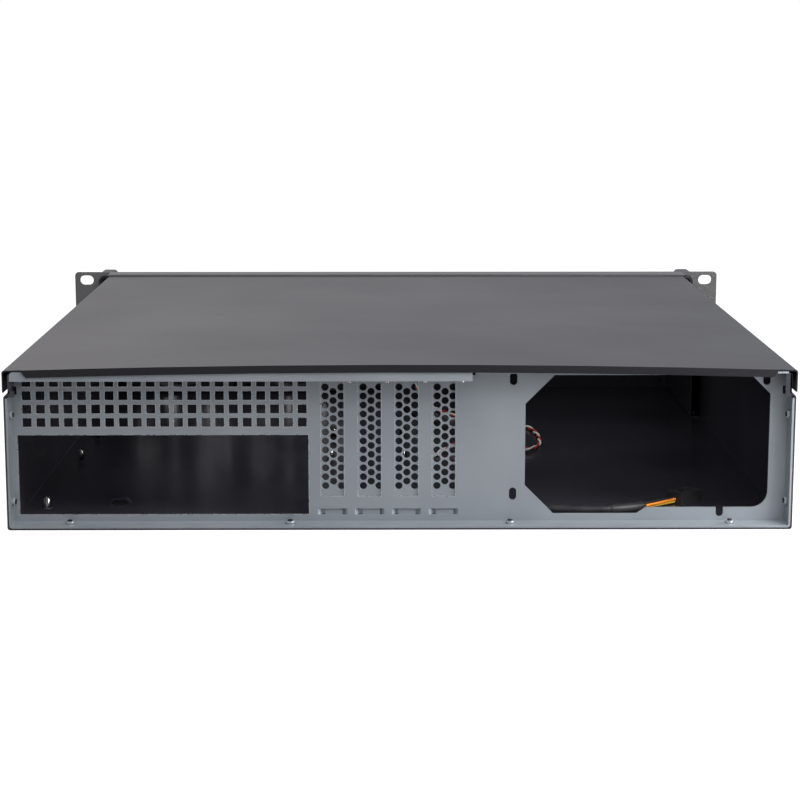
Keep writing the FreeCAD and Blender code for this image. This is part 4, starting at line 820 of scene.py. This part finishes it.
def mesh_piece(name, parts, body, material):
    """One flat-shaded object from (vertices, faces) parts."""
    vertices = np.concatenate([part[0] for part in parts])
    faces = []
    first = 0
    for part_vertices, part_faces in parts:
        faces += [[first + index for index in face] for face in part_faces]
        first += len(part_vertices)
    mesh = bpy.data.meshes.new(name)
    mesh.from_pydata(vertices.tolist(), [], faces)
    mesh.materials.append(material)
    mesh.update()
    piece = bpy.data.objects.new(name, mesh)
    bpy.context.scene.collection.objects.link(piece)
    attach(piece, body)
    return piece


# %% Slot covers
HOLE_PITCH = 5.0 * MM
HOLE_RADIUS = 2.0 * MM
HOLE_SIDES = 18
FIRST_HOLE = 21.4 * MM
TOP_MARGIN = 2.5 * MM
COLUMN_STEP = HOLE_PITCH * math.sqrt(0.75)
TONGUE = 4.8 * MM
SHOULDER_RISE = 12 * MM
SHOULDER_SLANT = 2 * MM
CORNER = 1.0 * MM
COVER_BEND = 1.3 * MM
NOTCH_RADIUS = 1.8 * MM
NOTCH_INSET = 1.7 * MM
NOTCH_REACH = 2 * MM


def strip_outlines(low, high):
    """Outline of the strip with its tongue, then its holes in three columns, the middle one half a pitch
    higher than the others."""
    middle = (low[0] + high[0]) / 2
    half = (high[0] - low[0]) / 2
    shoulder = low[2] + SHOULDER_RISE
    strip_top = high[2] - COVER_BEND
    outline = circle_points(middle - TONGUE + CORNER, low[2] + CORNER, CORNER, 5, math.pi, math.pi / 2)
    outline += circle_points(middle + TONGUE - CORNER, low[2] + CORNER, CORNER, 5, -math.pi / 2, math.pi / 2)
    outline += [(middle + TONGUE, shoulder - SHOULDER_SLANT), (middle + half, shoulder),
                (middle + half, strip_top), (middle - half, strip_top),
                (middle - half, shoulder), (middle - TONGUE, shoulder - SHOULDER_SLANT)]
    holes = []
    rows = int((high[2] - TOP_MARGIN - HOLE_RADIUS - FIRST_HOLE) / HOLE_PITCH) + 1
    for column in (-1, 0, 1):
        lift = 0.0 if column else HOLE_PITCH / 2
        for row in range(rows if column else rows - 1):
            centre = (middle + column * COLUMN_STEP, FIRST_HOLE + lift + row * HOLE_PITCH)
            holes.append(circle_points(*centre, HOLE_RADIUS, HOLE_SIDES))
    return [outline] + holes


def tab_outline(low, high, screws):
    """Outline of the tab on the ledge, with a round notch in its side for each screw that stands there."""
    middle = (low[0] + high[0]) / 2
    half = (high[0] - low[0]) / 2
    front = low[1] + COVER_BEND
    edge = [(middle + half, front), (middle + half, high[1] - CORNER), (middle + half - CORNER, high[1]),
            (middle - half + CORNER, high[1]), (middle - half, high[1] - CORNER), (middle - half, front)]
    for screw in screws:
        away = screw[0] - middle
        if abs(away) > half + NOTCH_REACH:
            continue
        notch = circle_points(screw[0] - math.copysign(NOTCH_INSET, away), screw[1], NOTCH_RADIUS, 9,
                              -math.pi / 2 if away < 0 else math.pi / 2, math.pi)
        near, far = screw[1] - NOTCH_RADIUS, screw[1] + NOTCH_RADIUS
        if away > 0:
            edge[1:1] = [(middle + half, near), *notch, (middle + half, far)]
        else:
            edge[-1:-1] = [(middle - half, far), *notch[::-1], (middle - half, near)]
    return edge


def bend_solid(low, high):
    """Quarter bend between strip and tab: outer arc of radius COVER_BEND, inner arc one sheet less."""
    turn = np.linspace(0.0, math.pi / 2, 7)
    inner = COVER_BEND - SHEET
    y, z = low[1] + COVER_BEND, high[2] - COVER_BEND
    profile = [(y - COVER_BEND * math.cos(t), z + COVER_BEND * math.sin(t)) for t in turn]
    profile += [(y - inner * math.cos(t), z + inner * math.sin(t)) for t in turn[::-1]]
    count = len(profile)
    vertices = np.array([(x, *point) for x in (low[0], high[0]) for point in profile])
    faces = [[k, (k + 1) % count, count + (k + 1) % count, count + k] for k in range(count)]
    faces += [list(range(count))[::-1], list(range(count, 2 * count))]
    return vertices, faces


def slot_cover_parts(low, high, screws):
    """Strip, tab and the bend between them for the cover that fills the box from low to high."""
    vertices, faces = flat_sheet(strip_outlines(low, high), SHEET, SHEET_BEVEL)
    strip = np.stack([vertices[:, 0], low[1] + SHEET / 2 - vertices[:, 2], vertices[:, 1]], axis=1)
    tab, tab_faces = flat_sheet([tab_outline(low, high, screws)], SHEET, SHEET_BEVEL)
    tab[:, 2] += high[2] - SHEET / 2
    return [(strip, faces), (tab, tab_faces), bend_solid(low, high)]


slot_screw_places = [(low + high) / 2 for low, high in islands("slot_cover_screws")]
for k in range(4):
    node_name = "slot_cover_%d" % (k + 1)
    low, high = [np.array(corner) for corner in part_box(node_name)]
    parts = slot_cover_parts(low, high, slot_screw_places)
    cover = mesh_piece("perforated_cover_%d" % (k + 1), parts, "chassis", finishes["zinc"])
    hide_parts(node_name)
print("faces of the last slot cover", len(cover.data.polygons))

# %% [markdown]
# ## Cut edges with a painted highlight
# A thin lining runs round each hole in the rear panel: it starts on the face, rounds the edge and goes
# through.  Its finish is lighter and shinier than the zinc: a painted highlight on every hole's edge.

# %% Cut edges
VENT_HALF = 2.45 * MM
VENT_ROWS = 4
VENT_COLUMNS = 21
VENT_FIRST = (203.4, 57.101)
VENT_PITCH = (7.5, 7.4196)
SLOT_FIRST = 37.05
SLOT_PITCH = 20.32
SLOT_HALF = 6.3 * MM
SLOT_BOTTOM = 15.8 * MM
SLOT_TOP = 81.2 * MM
APERTURE = (50.1 * MM, 208.85 * MM, 5.6 * MM, 50.05 * MM)
FACE_RECESS = 13.4 * MM
LINING = ((0.30, 0.012), (0.06, 0.05), (-0.05, -0.10), (-0.05, -1.0), (0.30, -0.9))
rear_face = rear_edge - FACE_RECESS


def edge_ring(x0, x1, z0, z1):
    """Closed lining of a rectangular hole: loop k lies LINING[k][0] outside the hole and LINING[k][1] in
    front of the face, in millimetres."""
    vertices = []
    for out, lift in LINING:
        out *= MM
        y = rear_face + lift * MM
        vertices += [(x0 - out, y, z0 - out), (x1 + out, y, z0 - out),
                     (x1 + out, y, z1 + out), (x0 - out, y, z1 + out)]
    loops = len(LINING)
    faces = []
    for k in range(loops):
        after = (k + 1) % loops
        for i in range(4):
            j = (i + 1) % 4
            faces.append([4 * k + j, 4 * k + i, 4 * after + i, 4 * after + j])
    return np.array(vertices), faces


rings = []
for row in range(VENT_ROWS):
    z = VENT_FIRST[1] * MM + row * VENT_PITCH[1] * MM
    for column in range(VENT_COLUMNS):
        x = (VENT_FIRST[0] - VENT_PITCH[0] * column) * MM
        rings.append(edge_ring(x - VENT_HALF, x + VENT_HALF, z - VENT_HALF, z + VENT_HALF))
for k in range(4):
    x = (SLOT_FIRST - SLOT_PITCH * k) * MM
    rings.append(edge_ring(x - SLOT_HALF, x + SLOT_HALF, SLOT_BOTTOM, SLOT_TOP))
rings.append(edge_ring(*APERTURE))
# The lining's lighter finish is a painted highlight on the holes' edges.
cut_edges = mesh_piece("rear_cut_edges", rings, "chassis", finishes["edge_highlight"])
print("cut edges", len(rings), "holes")

# %% [markdown]
# ## Collar rims
# Each rear screw turns into a collar that is drawn out of the sheet towards the inside.  The collar's
# rim gets the lighter edge finish, a painted highlight like the one on the holes' edges.

# %% Collar rims
COLLAR_PROFILE = ((2.2, 2.0), (2.46, 2.0), (2.46, 3.2), (2.38, 3.5),
                  (2.15, 3.66), (1.75, 3.66), (1.55, 3.5), (1.52, 2.4))


def collar_grid(seat, out):
    """Rings of a rim, each (radius, depth behind the screw's seat) of COLLAR_PROFILE in millimetres: up its
    outside, over a rounded edge and down into its hole."""
    angle = np.linspace(0.0, 2.0 * np.pi, 32, endpoint=False)
    rows = [np.stack([radius * MM * np.cos(angle), radius * MM * np.sin(angle),
                      np.full_like(angle, -depth * MM)], axis=1) for radius, depth in COLLAR_PROFILE]
    return place_grid(np.stack(rows), seat, out, 0.0)


collars = []
for low, high in islands("rear_panel_screws"):
    out = np.asarray(rear_direction((low + high) / 2), float)
    collars.append(collar_grid((low + high) / 2 + out * float(abs(out @ (high - low))) / 2, out))
# The rims take the painted edge highlight.
add_mesh("collar_rims", collars, "chassis", [finishes["edge_highlight"]])
print("collar rims", len(collars))

# %% [markdown]
# ## Corner tabs
# The tray's upper walls end in small black tabs that turn in over the rear panel's notched corners.

# %% Corner tabs
# Left and right are as seen from the rear; the left one stops below the cover's lip.
TAB_INNER = 207.6
TAB_OUTER = 210.9
TAB_BOTTOM = 73.4
LEFT_TAB_TOP = 76.8
RIGHT_TAB_TOP = 86.0
TAB_SHEET = 1.0


def block(low, high):
    """Vertices and outward faces of a plain block given in millimetres."""
    corners = [(x, y, z) for z in (low[2], high[2]) for y in (low[1], high[1]) for x in (low[0], high[0])]
    faces = [[0, 2, 3, 1], [4, 5, 7, 6], [0, 1, 5, 4], [2, 6, 7, 3], [0, 4, 6, 2], [1, 3, 7, 5]]
    return np.array(corners) * MM, faces


back = rear_edge / MM
tabs = [block((-TAB_OUTER, back - TAB_SHEET, TAB_BOTTOM), (-TAB_INNER, back, RIGHT_TAB_TOP)),
        block((TAB_INNER, back - TAB_SHEET, TAB_BOTTOM), (TAB_OUTER, back, LEFT_TAB_TOP))]
mesh_piece("tray_corner_tabs", tabs, "chassis", finishes["black_paint"])

# %% [markdown]
# ## Finish
# The box round the dressed case is measured and its size printed.

# %% Finish
low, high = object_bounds()
print("dressed size in mm", [round((b - a) / MM, 1) for a, b in zip(low, high)])
